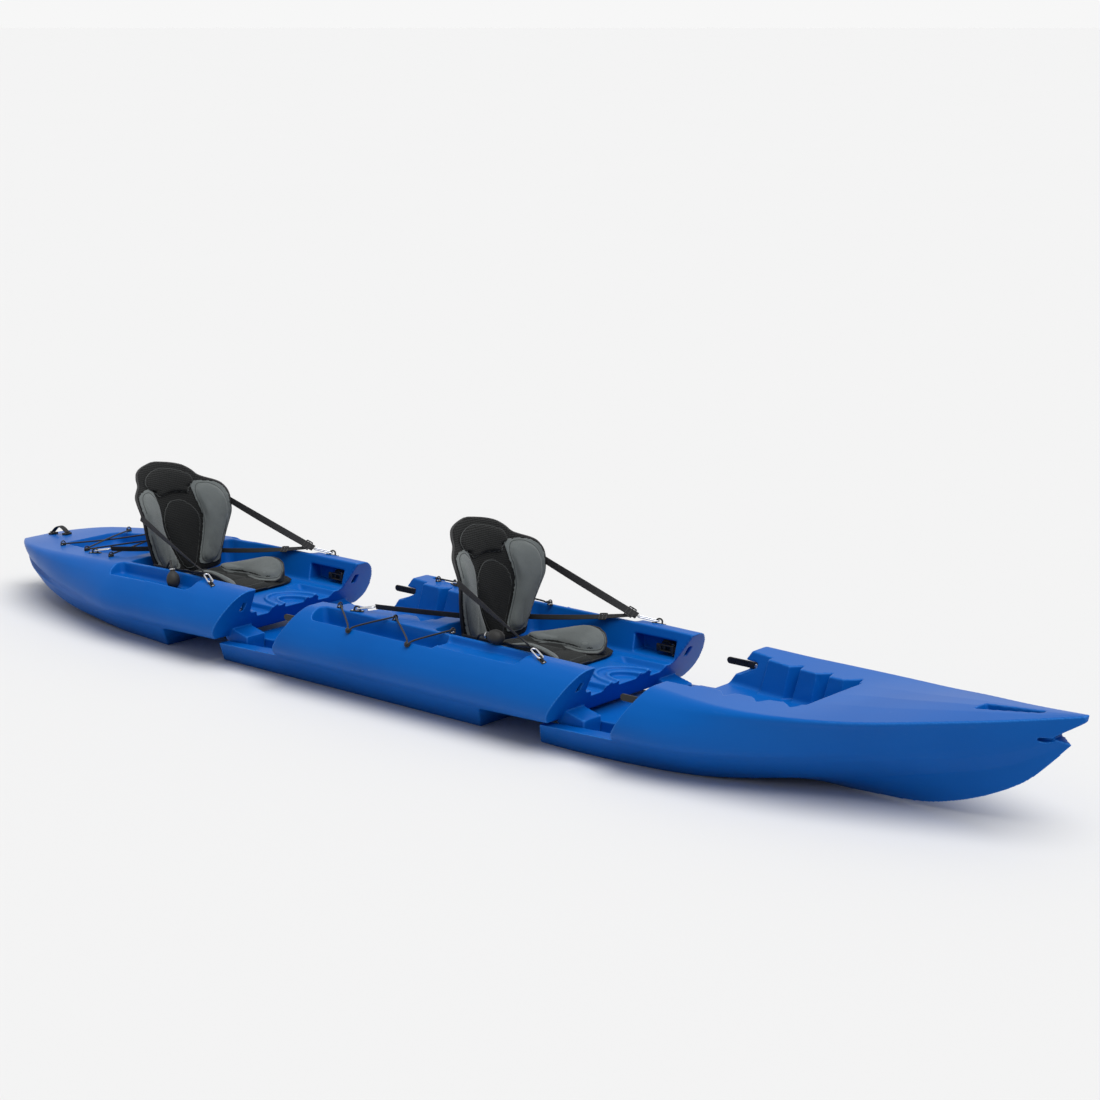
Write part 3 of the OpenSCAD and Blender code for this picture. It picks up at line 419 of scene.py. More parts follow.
finish = {
    "hull": hullFinish(),
    "grey": clothFinish("padGrey", (0.088, 0.1, 0.1, 1), (0.17, 0.188, 0.188, 1), 3400.0, 0.0006),
    "black": clothFinish("padBlack", (0.006, 0.0068, 0.0068, 1), (0.019, 0.0212, 0.0212, 1), 3400.0, 0.0006,
                         sheen=0.06),
    "knit": knitFinish(),
    "webbing": webbingFinish(),
    "piping": plasticFinish("pipingBlack", (0.01, 0.01, 0.011), 0.5),
    "seam": plasticFinish("seamGrey", (0.045, 0.05, 0.05), 0.8),
    "knitLine": plasticFinish("knitLine", (0.05, 0.054, 0.054), 0.8),
    "latch": plasticFinish("latchBlack", (0.009, 0.009, 0.01), 0.42),
    "rubber": plasticFinish("rubberBlack", (0.012, 0.012, 0.012), 0.6, 300.0, 0.0003),
    "steel": steelFinish(),
    "bungee": bungeeFinish(),
}


def dress(obj, name):
    obj.data.materials.clear()
    obj.data.materials.append(finish[name])
    return obj


# a finished piece: its finish, the body it rides on and the solids it stands for; its slot is not used
def settle(obj, finishName, body, slot, *solids):
    if finishName:
        dress(obj, finishName)
    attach(obj, body)
    if solids:
        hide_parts(*solids)
    return obj


# pale floor that keeps the shadow
def floorFinish():
    f = Finish("floorPale", **{"Roughness": 0.95, "Specular IOR Level": 0.0})
    cloud = f.noise(f.place(), 0.4, 2.0)
    g = studio["floor"]
    f.feed(f.shader, {"Base Color": f.colours(cloud, (0.995 * g,) * 3 + (1,), (g, g, g, 1))})
    return f.material


# sky brighter overhead, and plain pale to the lens and to reflections
def skyFinish():
    world = bpy.data.worlds.new("studio")
    scene.world = world
    f = Finish("studio", world, "Background")
    x, y, z = f.parts(f.node("ShaderNodeTexCoord", {}, {}, "Generated"))
    a, b, c, d = studio["skyLow"], studio["skyHigh"], studio["backdrop"], studio["skyBehind"]
    sky = f.colours(z.above(0.0, 0.9), (a, a, a, 1), (b, b, b, 1))
    sky = f.colours((0.75 * y - 0.65 * x).above(0.1, 0.9), sky, (d, d, d, 1))
    seen = (f.node("ShaderNodeLightPath", {}, {}, "Is Camera Ray")
            + f.node("ShaderNodeLightPath", {}, {}, "Is Glossy Ray"))
    f.feed(f.shader, {"Color": f.colours(seen, sky, (c, c, c, 1)), "Strength": 1.0})


skyFinish()
bpy.ops.mesh.primitive_plane_add(size=400, location=(0, 0, -0.0005))
floor = newest("floor")
floor.data.materials.append(floorFinish())

print("stage: hull lines")
lines = {
    "sternLen": 1136, "pitch": 1219, "bowLen": 1742, "halfBeam": 378, "depth": 283, "bottom": 255,
    "crease": 92, "bowTop": 372,
    "bowPlan": [(0, 1), (0.2, 1), (0.32, 0.98), (0.45, 0.9), (0.6, 0.73), (0.75, 0.5), (0.88, 0.26),
                (1, 0.035)],
    "bowBottom": [(0, 1), (0.12, 1), (0.22, 0.94), (0.32, 0.82), (0.42, 0.62), (0.55, 0.4), (0.72, 0.2),
                  (1, 0.012)],
    "bowKeel": [(0, 0), (0.5, 0), (0.6, 0.004), (0.742, 0.067), (0.887, 0.355), (0.976, 0.753), (1, 0.94)],
    "bowEdge": [(0, 0), (0.28, 0), (0.38, 0.02), (0.46, 0.07), (0.58, 0.17), (0.72, 0.3), (0.87, 0.5),
                (0.976, 0.79), (1, 0.95)],
    "bowCrease": [(0, 0), (0.2, 0), (0.4, 0.03), (0.55, 0.12), (0.72, 0.29), (0.87, 0.5), (0.976, 0.79),
                  (1, 0.955)],
    "bowSheer": [(0, 0), (0.24, -0.01), (0.38, -0.12), (0.5, -0.1), (0.65, 0.08), (0.77, 0.36),
                 (0.88, 0.64), (1, 1)],
    "bowTurn": [(0, 0), (0.24, 0), (0.5, 0.75), (0.66, 1), (1, 1)],
    "bowCrown": [(0, 0), (0.5, 0), (0.62, 12), (0.8, 14), (0.94, 6), (1, 2)],
    "sternPlan": [(0, 1), (0.2, 0.98), (0.4, 0.885), (0.54, 0.795), (0.65, 0.69), (0.7, 0.632),
                  (0.777, 0.52), (0.838, 0.4), (0.891, 0.282), (0.935, 0.178), (0.979, 0.07), (1, 0.014)],
    "sternBottom": [(0, 1), (0.22, 0.9), (0.4, 0.84), (0.56, 0.76), (0.72, 0.6), (0.84, 0.385),
                    (0.94, 0.14), (1, 0.012)],
    "sternKeel": [(0, 0), (0.22, 0), (0.4, 0.06), (0.56, 0.13), (0.72, 0.24), (0.84, 0.36), (0.94, 0.48),
                  (1, 0.56)],
    "sternCrease": [(0, 0.325), (0.3, 0.33), (0.56, 0.39), (0.72, 0.45), (0.84, 0.5), (0.94, 0.56),
                    (1, 0.6)],
    "sternSheer": [(0, 1), (0.2, 0.972), (0.45, 0.92), (0.65, 0.868), (0.77, 0.836), (0.86, 0.79),
                   (0.93, 0.735), (0.975, 0.68), (1, 0.62)],
    "sternFlare": [(0, 0), (0.2, 0), (0.55, 0.5), (0.8, 1), (1, 1)],
    "sideY": [0.968, 1, 0.975, 0.926, 0.878, 0.815, 0.741],
    "sideZ": [0.157, 0.335, 0.565, 0.75, 0.864, 0.958, 1],
    "flareY": [0.76, 0.87, 0.945, 0.985, 1, 0.985, 0.925],
    "turnY": [0.28, 0.5, 0.7, 0.87, 1, 0.985, 0.9],
    "turnZ": [0.2, 0.42, 0.64, 0.82, 0.93, 0.99, 1],
}


# half section at a place along the joined hull, keel first, deck centre last
def halfSection(s):
    q = lines
    tb = max(0.0, min(1.0, (s - q["pitch"]) / q["bowLen"]))
    ts = max(0.0, min(1.0, -s / q["sternLen"]))
    w = q["halfBeam"] * run(tb, q["bowPlan"]) * run(ts, q["sternPlan"])
    yb = q["bottom"] * run(tb, q["bowBottom"]) * run(ts, q["sternBottom"])
    zk = max(0.0, q["bowTop"] * run(tb, q["bowKeel"]) + q["depth"] * run(ts, q["sternKeel"]))
    zb = max(zk, q["bowTop"] * run(tb, q["bowEdge"]) + q["depth"] * run(ts, q["sternKeel"]))
    if tb > 0:
        zc = mix(q["crease"], q["bowTop"], run(tb, q["bowCrease"]))
        zs = mix(q["depth"], q["bowTop"], run(tb, q["bowSheer"]))
    else:
        zc = q["crease"] + q["depth"] * (run(ts, q["sternCrease"]) - q["sternCrease"][0][1])
        zs = q["depth"] * run(ts, q["sternSheer"])
    f, g = max(0.0, run(tb, q["bowTurn"])), max(0.0, run(ts, q["sternFlare"]))
    crown = run(tb, q["bowCrown"])
    yc = mix(mix(0.873 * w, mix(yb, w, 0.55), g), mix(yb, w, 0.45), f)
    side = [(mix(mix(q["sideY"][i], q["flareY"][i], g) * w, mix(yc, w, q["turnY"][i]), f),
             mix(zc, zs, mix(q["sideZ"][i], q["turnZ"][i], f))) for i in range(7)]
    return [(0, zk), (yb, zb), (yc, max(zc, zb + 0.4))] + side + [
        (0.42 * side[6][0], zs + 0.75 * crown), (0, zs + crown)]


# the same section with its rounded topside drawn as one smooth line
def fairSection(s):
    points = [Vector(p) for p in halfSection(s)]
    fair = [points[0].lerp(points[1], k / 6) for k in range(6)]
    fair += [points[1].lerp(points[2], k / 5) for k in range(5)]
    chain = points[2:10]
    slopes = []
    for i in range(len(chain)):
        a, b = chain[max(i - 1, 0)], chain[min(i + 1, len(chain) - 1)]
        slopes.append((b - a) / (2 if 0 < i < len(chain) - 1 else 1))
    slopes[-1] = Vector((slopes[-1].x, 0))
    for i in range(len(chain) - 1):
        for k in range(4):
            u = k / 4
            v = 1 - u
            fair.append(chain[i] * (1 + 2 * u) * v * v + chain[i + 1] * u * u * (3 - 2 * u)
                        + slopes[i] * u * v * v - slopes[i + 1] * u * u * v)
    fair += [points[9].lerp(points[10], k / 4) for k in range(4)]
    return fair + [points[10].lerp(points[11], k / 4) for k in range(5)]


def loftedHull(name, x0, first, last, pitch):
    count = round((last - first) / pitch)
    sections = {}

    def place(u, v):
        k = round(v * count)
        if k not in sections:
            half = fairSection(first + (last - first) * k / count)
            sections[k] = half + [Vector((-p.x, p.y)) for p in half[-2:0:-1]]
        ring = sections[k]
        p = ring[round(u * len(ring)) % len(ring)]
        return (x0 + first + (last - first) * k / count, p.x, p.y)
    around = 2 * (len(fairSection(0)) - 1)
    return laidGrid(name, around, count, place)


print("stage: hull mouldings")
joint = {"lean": 0.64, "tongue": 290, "tongueH": 86, "tongueTop": 102, "lift": 2, "below": -80, "over": 700,
         "lugY": 233, "lugW": 86, "lugHigh": 30, "lugReach": 72, "lugClear": 3, "strapZ": 217, "strapY": 272}
wells = {"rim": 255, "wall": 34, "aft": (-190, -228), "open": 600, "floor": 183, "top": 313, "foot": 168,
         "footStart": 330, "footEnd": 936, "footTop": 323, "pitch": 113, "step": 62, "latchY": 287,
         "troughY": (258, 340)}


# leaning face of a joint, and the stepped line from the keel up to it
def faceAt(z):
    return joint["tongue"] + joint["lean"] * z


def underLine(z0):
    j = joint
    heel, top = j["tongueH"] - z0, j["tongueTop"] - z0
    return [(j["lean"] * j["below"], j["below"]), (j["lean"] * heel, heel), (faceAt(top), top),
            (faceAt(j["over"]), j["over"])]


def acrossBoat(name, outline, x0, half=500):
    return prism(name, upright(outline, -half, x0), upright(outline, half, x0))


# tools for a hollow between its floor's outline and its rim's, with eased corners
def pocket(x0, low, z0, high, z1, corner=0.0, floorRound=0.0, both=False):
    made = []
    for turn in ([False, True] if both else [False]):
        a, b = (mirrored(low), mirrored(high)) if turn else (low, high)
        tool = prism("pocket", level(a, z0, x0), level(b, z1, x0))
        if corner:
            bevelEdges(tool, lambda p, q: abs(p.z - q.z) > 0.6 * (z1 - z0) * mm, corner * mm, 5)
        if floorRound:
            bevelEdges(tool, lambda p, q: max(p.z, q.z) < (z0 + 0.5) * mm, floorRound * mm, 5)
        made.append(outwards(tool))
    return made


def rectangle(x0, x1, y0, y1):
    return [(x0, y0), (x1, y0), (x1, y1), (x0, y1)]


def box(x0, a, b):
    low = rectangle(a[0], b[0], a[1], b[1])
    return pocket(x0, low, a[2], low, b[2], both=True)


# seat well, the grooves in its floor, the ratchets' recesses and the strap holes
def cockpitTools(x0):
    w, z = wells, joint["strapZ"]
    rim, end, (low, high) = w["rim"], w["open"], w["aft"]
    inner = rim - w["wall"]
    tools = pocket(x0, rectangle(low, end, -inner, inner), w["floor"],
                   rectangle(high, end, -rim, rim), w["top"], 30, 14)
    tools += pocket(x0, [(250, 122), (end, 118), (end, 182), (250, 172)], w["floor"] - 20,
                    [(215, 112), (end, 108), (end, 200), (215, 190)], w["floor"] + 8, 8, 5, True)
    tools += pocket(x0, rectangle(240, 404, 200, w["latchY"]), z - 25,
                    rectangle(236, 408, 200, w["latchY"]), z + 34, both=True)
    return tools + box(x0, (390, 262.5, z - 17), (480, 281.5, z + 17))


def oval(x0, centre, a, b, z0, z1, flare=0.0):
    def ring(a, b):
        turns = [2 * math.pi * k / 56 for k in range(56)]
        return [(centre + a * math.cos(g), b * math.sin(g)) for g in turns]
    return prism("oval", level(ring(a, b), z0, x0), level(ring(a + flare, b + flare), z1, x0))


# oval tray in the cockpit floor: raised rings and the hollow inside each
tray = {"centre": 425, "rings": [(150, 104, 9), (108, 66, 5)], "wide": 17, "hollow": 12}


def addTray(obj, x0):
    z = wells["floor"]
    for k, (a, b, high) in enumerate(tray["rings"]):
        w = tray["wide"]
        cut(obj, [oval(x0, tray["centre"], a, b, z - 30, z + high, -3)], "UNION")
        low = z - 1 if k == 0 else z - tray["hollow"]
        cut(obj, [oval(x0, tray["centre"], a - w, b - w, low, z + 40, 8)])
    return cut(obj, [aheadTool(x0)])


# lugs that reach ahead into the next section
def lugParts(x0):
    j = joint
    top = j["tongueTop"] + j["lugHigh"]
    z0, x1, x2 = j["tongueH"] - 30, faceAt(top) + j["lugReach"], faceAt(j["tongueTop"])
    side = [(x2 - 30, j["tongueTop"]), (x2 + 14, z0), (x1 - 4, z0), (x1, z0 + 40), (x1, z0 + 56),
            (x2 + 10, top - 0.5), (x2 - 30, top - 0.5)]
    inner, outer = j["lugY"] - j["lugW"] / 2, j["lugY"] + j["lugW"] / 2
    return [outwards(prism("lug", upright(side, s * inner, x0), upright(side, s * outer, x0)))
            for s in (1, -1)]


def troughTools(x0, a, b, depth):
    y0, y1 = wells["troughY"]
    return pocket(x0, rectangle(a + 18, b - 18, y0 + 8, y1 - 10), lines["depth"] - depth,
                  rectangle(a, b, y0, y1), lines["depth"] + 10, 18, 9, True)


# well for the feet, its wider start, the steps along each wall, the strap's slot and the lug's channel
def footwellTools(x0):
    j, w = joint, wells
    start, far, low, top = w["footStart"], w["footEnd"], w["foot"], w["footTop"]
    tools = pocket(x0, [(start, -176), (far - 44, -132), (far - 44, 132), (start, 176)], low,
                   [(start, -214), (far, -154), (far, 154), (start, 214)], top, 0, 12)
    tools += pocket(x0, [(start, 120), (540, 120), (540, 172), (start, 206)], low,
                    [(start, 120), (560, 120), (560, 222), (start, 250)], top, 0, 10, True)
    for i in range(3):
        x, y = 588 + w["pitch"] * i, 160 - 9 * i
        foot = [(x - 24, 90), (x - 10, 91), (x + 72, y + w["step"] * 0.35), (x + 90, 91), (x + 92, 90)]
        head = [(x - 2, 90), (x, y), (x + 90, y + w["step"]), (x + 112, y - 8), (x + 112, 90)]
        tools += pocket(x0, foot, low, head, top, both=True)
    z = j["strapZ"]
    tools += box(x0, (380, 200, z - 15), (500, j["strapY"] + 2.9, z + 32))
    a, b = j["lugY"] - j["lugW"] / 2 - j["lugClear"], j["lugY"] + j["lugW"] / 2 + j["lugClear"]
    end = faceAt(j["tongueTop"] + j["lugHigh"]) + j["lugReach"] + j["lugClear"] + 4
    return tools + box(x0, (-40, a, j["tongueH"] - 33), (end, b, j["tongueTop"] + 34))


# what lies ahead of a joint, or behind it
def aheadTool(x0):
    far = faceAt(joint["over"]) + 900
    return acrossBoat("ahead", underLine(0) + [(far, joint["over"]), (far, joint["below"])], x0)


def behindTool(x0):
    ends = [(-900, joint["over"]), (-900, joint["below"])]
    return acrossBoat("behind", underLine(joint["lift"]) + ends, x0)


# notch under the beak, the handle slot over it, and a lens-shaped dent in each cheek
beak = {"notch": [(1651, 296.5), (1794, 249), (1794, 390.6), (1724.6, 342)], "notchHalf": 80,
        "slotFloor": [(1420, -26), (1603, -8), (1603, 8), (1420, 26)], "slotZ": 300,
        "slotRim": [(1394, -40), (1620, -12), (1620, 12), (1394, 40)], "slotTop": 392,
        "dent": (1640, 34, 290), "dentHalf": (34, 16, 7)}


def dentTools(x0):
    made = []
    (x, y, z), (a, b, c) = beak["dent"], beak["dentHalf"]
    for side in (1, -1):
        tool = added("dent", bpy.ops.mesh.primitive_uv_sphere_add, segments=32, ring_count=16, radius=1)
        for point in tool.data.vertices:
            p = point.co
            point.co = Vector((x0 + x + a * p.x, side * y + b * p.y, z + c * p.z)) * mm
        made.append(tool)
    return made


mould = {"voxel": 3.5, "ease": 3, "keep": 170000}


# one skin with soft edges, as it comes out of a mould
def moulded(obj):
    modify(obj, "REMESH", mode="VOXEL", voxel_size=mould["voxel"] * mm, adaptivity=0.0,
           use_smooth_shade=True)
    modify(obj, "SMOOTH", factor=0.5, iterations=mould["ease"])
    count = 2 * len(obj.data.polygons)
    if count > mould["keep"]:
        modify(obj, "DECIMATE", decimate_type="COLLAPSE", ratio=mould["keep"] / count)
    print("  ", obj.name, len(obj.data.polygons), "faces")
    return smoothLook(obj)


tank = {"floor": [(-720, -120), (-300, -190), (-300, 190), (-720, 120)], "z": 201,
        "rim": [(-770, -130), (-262, -218), (-262, 218), (-770, 130)], "top": 303}
stern = loftedHull("sternMoulding", sternX, -lines["sternLen"], 600, 12)
cut(stern, [aheadTool(sternX)] + cockpitTools(sternX) + troughTools(sternX, -236, 226, 50)
    + pocket(sternX, tank["floor"], tank["z"], tank["rim"], tank["top"], 30, 14))
addTray(stern, sternX)
cut(stern, lugParts(sternX), "UNION")
settle(moulded(stern), "hull", "stern", "hull", "stern_hull")

middle = loftedHull("midMoulding", midX, -60, 1819, 15)
cut(middle, [aheadTool(frontX)] + cockpitTools(frontX) + footwellTools(midX) + [behindTool(midX)])
addTray(middle, frontX)
cut(middle, lugParts(frontX), "UNION")
cut(middle, troughTools(midX, 516, 1104, 62) + troughTools(midX, 1080, 1450, 26))
settle(moulded(middle), "hull", "mid", "hull", "mid_hull")

bow = loftedHull("bowMoulding", bowX - lines["pitch"], 1149, lines["pitch"] + lines["bowLen"], 12)
cut(bow, [behindTool(bowX)] + footwellTools(bowX) + dentTools(bowX)
    + [acrossBoat("notch", beak["notch"], bowX, beak["notchHalf"])]
    + pocket(bowX, beak["slotFloor"], beak["slotZ"], beak["slotRim"], beak["slotTop"], 8, 8))
settle(moulded(bow), "hull", "bow", "hull", "bow_hull")

print("stage: seats")
seat = {"foot": -168, "padStart": -142, "padLong": 356, "padHalf": 186, "padThick": 26, "backHigh": 404,
        "backHalf": 213, "backThick": 28, "wrap": 76, "curl": 75, "bolster": 20, "thigh": 16, "floor": 183,
        "voxel": 5.0, "pressure": 4.0, "frames": 20, "channel": 0.36, "crossings": (0.36, 0.66),
        "thighStart": 20, "thighLong": 0.94,
        "backPlan": [(0, 0.556), (0.03, 0.685), (0.1, 0.726), (0.3, 0.848), (0.5, 0.965), (0.6, 0.985),
                     (0.68, 1), (0.735, 0.988), (0.79, 0.92), (0.85, 0.68), (0.91, 0.592), (0.96, 0.45),
                     (1, 0.12)],
        "backWrap": [(0, 0.15), (0.4, 0.75), (0.65, 1), (1, 0.85)],
        "padPlan": [(0, 0.5), (0.03, 0.7), (0.1, 0.79), (0.5, 0.87), (0.82, 1), (0.93, 0.97), (0.98, 0.84),
                    (1, 0.66)],
        "padEdge": [(0, 0.3), (0.03, 0.72), (0.08, 0.95), (0.14, 1), (0.72, 1), (0.86, 0.9), (0.95, 0.68),
                    (0.985, 0.45), (1, 0.2)],
        "thighIn": [(0, 100), (0.25, 62), (0.48, 76), (0.76, 58), (0.9, 64), (1, 92)],
        "thighOut": [(0, 106), (0.2, 128), (0.38, 143), (0.66, 160), (0.82, 161), (0.94, 148), (1, 122)],
        "thighRise": [(0, 209), (0.2, 222), (0.38, 241), (0.56, 261), (0.68, 271), (0.82, 269), (0.94, 253),
                      (1, 228)],
        "bolsterIn": [(0, 0.25), (0.12, 0.29), (0.3, 0.42), (0.48, 0.47), (0.6, 0.43), (0.7, 0.39),
                      (0.8, 0.44), (0.83, 0.53)],
        "bolsterOut": [(0, 0.98), (0.3, 0.985), (0.6, 0.985), (0.7, 0.985), (0.8, 0.98), (0.83, 0.97)]}
backZ = seat["floor"] + 14


# a cube cut fine on every face and laid to a cushion's shape: shape(a, b, c) in mm
def padForm(name, cuts, shape):
    obj = added(name, bpy.ops.mesh.primitive_cube_add, size=2)
    editAll(obj)
    bpy.ops.mesh.subdivide(number_cuts=cuts)
    editDone(obj)
    for point in obj.data.vertices:
        point.co = Vector(shape(*point.co)) * mm
    return outwards(obj, 1e-6)


# foam under cloth: remeshed, blown up a little with its sewn edges held, and subdivided
def stuffed(obj, held, cap, voxel=None):
    modify(obj, "REMESH", mode="VOXEL", voxel_size=(voxel or seat["voxel"]) * mm)
    rest = [point.co.copy() for point in obj.data.vertices]
    group = obj.vertex_groups.new(name="sewn")
    group.add([i for i, p in enumerate(rest) if held(p / mm)], 1.0, "REPLACE")
    cloth = obj.modifiers.new("cloth", "CLOTH")
    how = cloth.settings
    how.vertex_group_mass = "sewn"
    how.use_pressure = True
    how.uniform_pressure_force = seat["pressure"]
    how.effector_weights.gravity = 0
    how.quality = 4
    how.tension_stiffness = how.compression_stiffness = 12
    how.bending_stiffness = 1.5
    cloth.point_cache.frame_end = seat["frames"]
    for step in range(1, seat["frames"] + 1):
        scene.frame_set(step)
    pick(obj)
    bpy.ops.object.modifier_apply(modifier="cloth")
    for point, start in zip(obj.data.vertices, rest):
        moved = point.co - start
        if moved.length > cap * mm:
            point.co = start + moved * (cap * mm / moved.length)
    scene.frame_set(1)
    obj.vertex_groups.clear()
    modify(obj, "SMOOTH", factor=0.5, iterations=2)
    modify(obj, "SUBSURF", levels=1, render_levels=1)
    return smoothLook(obj)


def backWide(v):
    return seat["backHalf"] * run(v, seat["backPlan"])


def rise(v, lean):
    return v * seat["backHigh"] / math.sqrt(1 + lean * lean)


def backMid(y, v, lean):
    return (seat["foot"] - lean * rise(v, lean) - seat["curl"] * max(0, 2 * v - 1) ** 2
            + seat["wrap"] * run(v, seat["backWrap"]) * (y / seat["backHalf"]) ** 2)


def panelHalf(u):
    return 4 + (seat["backThick"] / 2 - 4) * math.sqrt(max(0, 1 - min(1, abs(u)) ** 6))


def panelFront(y, v, lean):
    return backMid(y, v, lean) + panelHalf(y / backWide(v))


def rounded(a, b, c=0.28):
    return a * math.sqrt(1 - c * b * b), b * math.sqrt(1 - c * a * a)


# height share of a raised lobe inside a sewn border, 1 in the middle and 0 from its edge on
def lobe(a, b, sharp=4):
    t = (abs(a) ** 4 + abs(b) ** 8) ** 0.25
    return math.sqrt(max(0, 1 - min(1, t) ** sharp))


# tube along a path in mm, with its UV in metres along and turns round
def tube(name, path, radius, around=10, closed=False):
    points = [Vector(p) for p in path]
    count = len(points)
    far = count if closed else count - 1
    sides, lengths = [], [0.0]
    side = None
    for i, p in enumerate(points):
        if closed:
            t = points[(i + 1) % count] - points[i - 1]
        else:
            t = points[min(i + 1, count - 1)] - points[max(i - 1, 0)]
        t.normalize()
        if side is None:
            side = t.orthogonal()
        side = (side - t * side.dot(t)).normalized()
        sides.append((side.copy(), t.cross(side)))
        if i:
            lengths.append(lengths[-1] + (p - points[i - 1]).length)

    def place(u, v):
        i = round(v * far)
        a = 2 * math.pi * round(u * around) / around
        n, b = sides[i % count]
        return points[i % count] + radius * (math.cos(a) * n + math.sin(a) * b)
    obj = laidGrid(name, around, far, place)
    for loop in obj.data.uv_layers.active.data:
        i = round(loop.uv.y * far)
        loop.uv = (lengths[min(i, count - 1)] * mm, loop.uv.x)
    return smoothLook(obj, 40)


def smoothPath(points, pieces, closed=False):
    points = [Vector(p) for p in points]
    n = len(points)
    made = []
    for i in range(n if closed else n - 1):
        p0 = points[i - 1] if closed or i else points[0] * 2 - points[1]
        p1, p2 = points[i], points[(i + 1) % n]
        p3 = points[(i + 2) % n] if closed or i + 2 < n else p2 * 2 - p1
        for k in range(pieces):
            t = k / pieces
            made.append(0.5 * (2 * p1 + (p2 - p0) * t + (2 * p0 - 5 * p1 + 4 * p2 - p3) * t * t
                               + (3 * p1 - p0 - 3 * p2 + p3) * t ** 3))
    return made if closed else made + [points[-1]]


def joined(name, pieces):
    pick(pieces[0])
    for other in pieces[1:]:
        other.select_set(True)
    if len(pieces) > 1:
        bpy.ops.object.join()
    return newest(name)


# thread or welt sewn round a cushion, on its finished face: spot(a, b) gives the line's shape in mm
def seam(name, cushion, spot, finishName, radius=1.3, square=False):
    ring = []
    for k in range(96):
        c, n = math.cos(2 * math.pi * k / 96), math.sin(2 * math.pi * k / 96)
        if square:
            c, n = c / max(abs(c), abs(n)), n / max(abs(c), abs(n))
        else:
            c, n = math.copysign(abs(c) ** 0.5, c), math.copysign(abs(n) ** 0.25, n)
        ring.append(cushion.closest_point_on_mesh(Vector(spot(c, n)) * mm)[1] / mm)
    ring = [p for i, p in enumerate(ring) if (p - ring[i - 1]).length > 0.8]
    return dress(tube(name, smoothPath(ring, 2, True), radius, 8, True), finishName)


def bothSides(port):
    other = copyOf(port, port.name.replace("Port", "Starboard"), overBoat)
    return (port, "port"), (other, "starboard")


def padPiece(obj, fill, *details):
    settle(obj, *details)


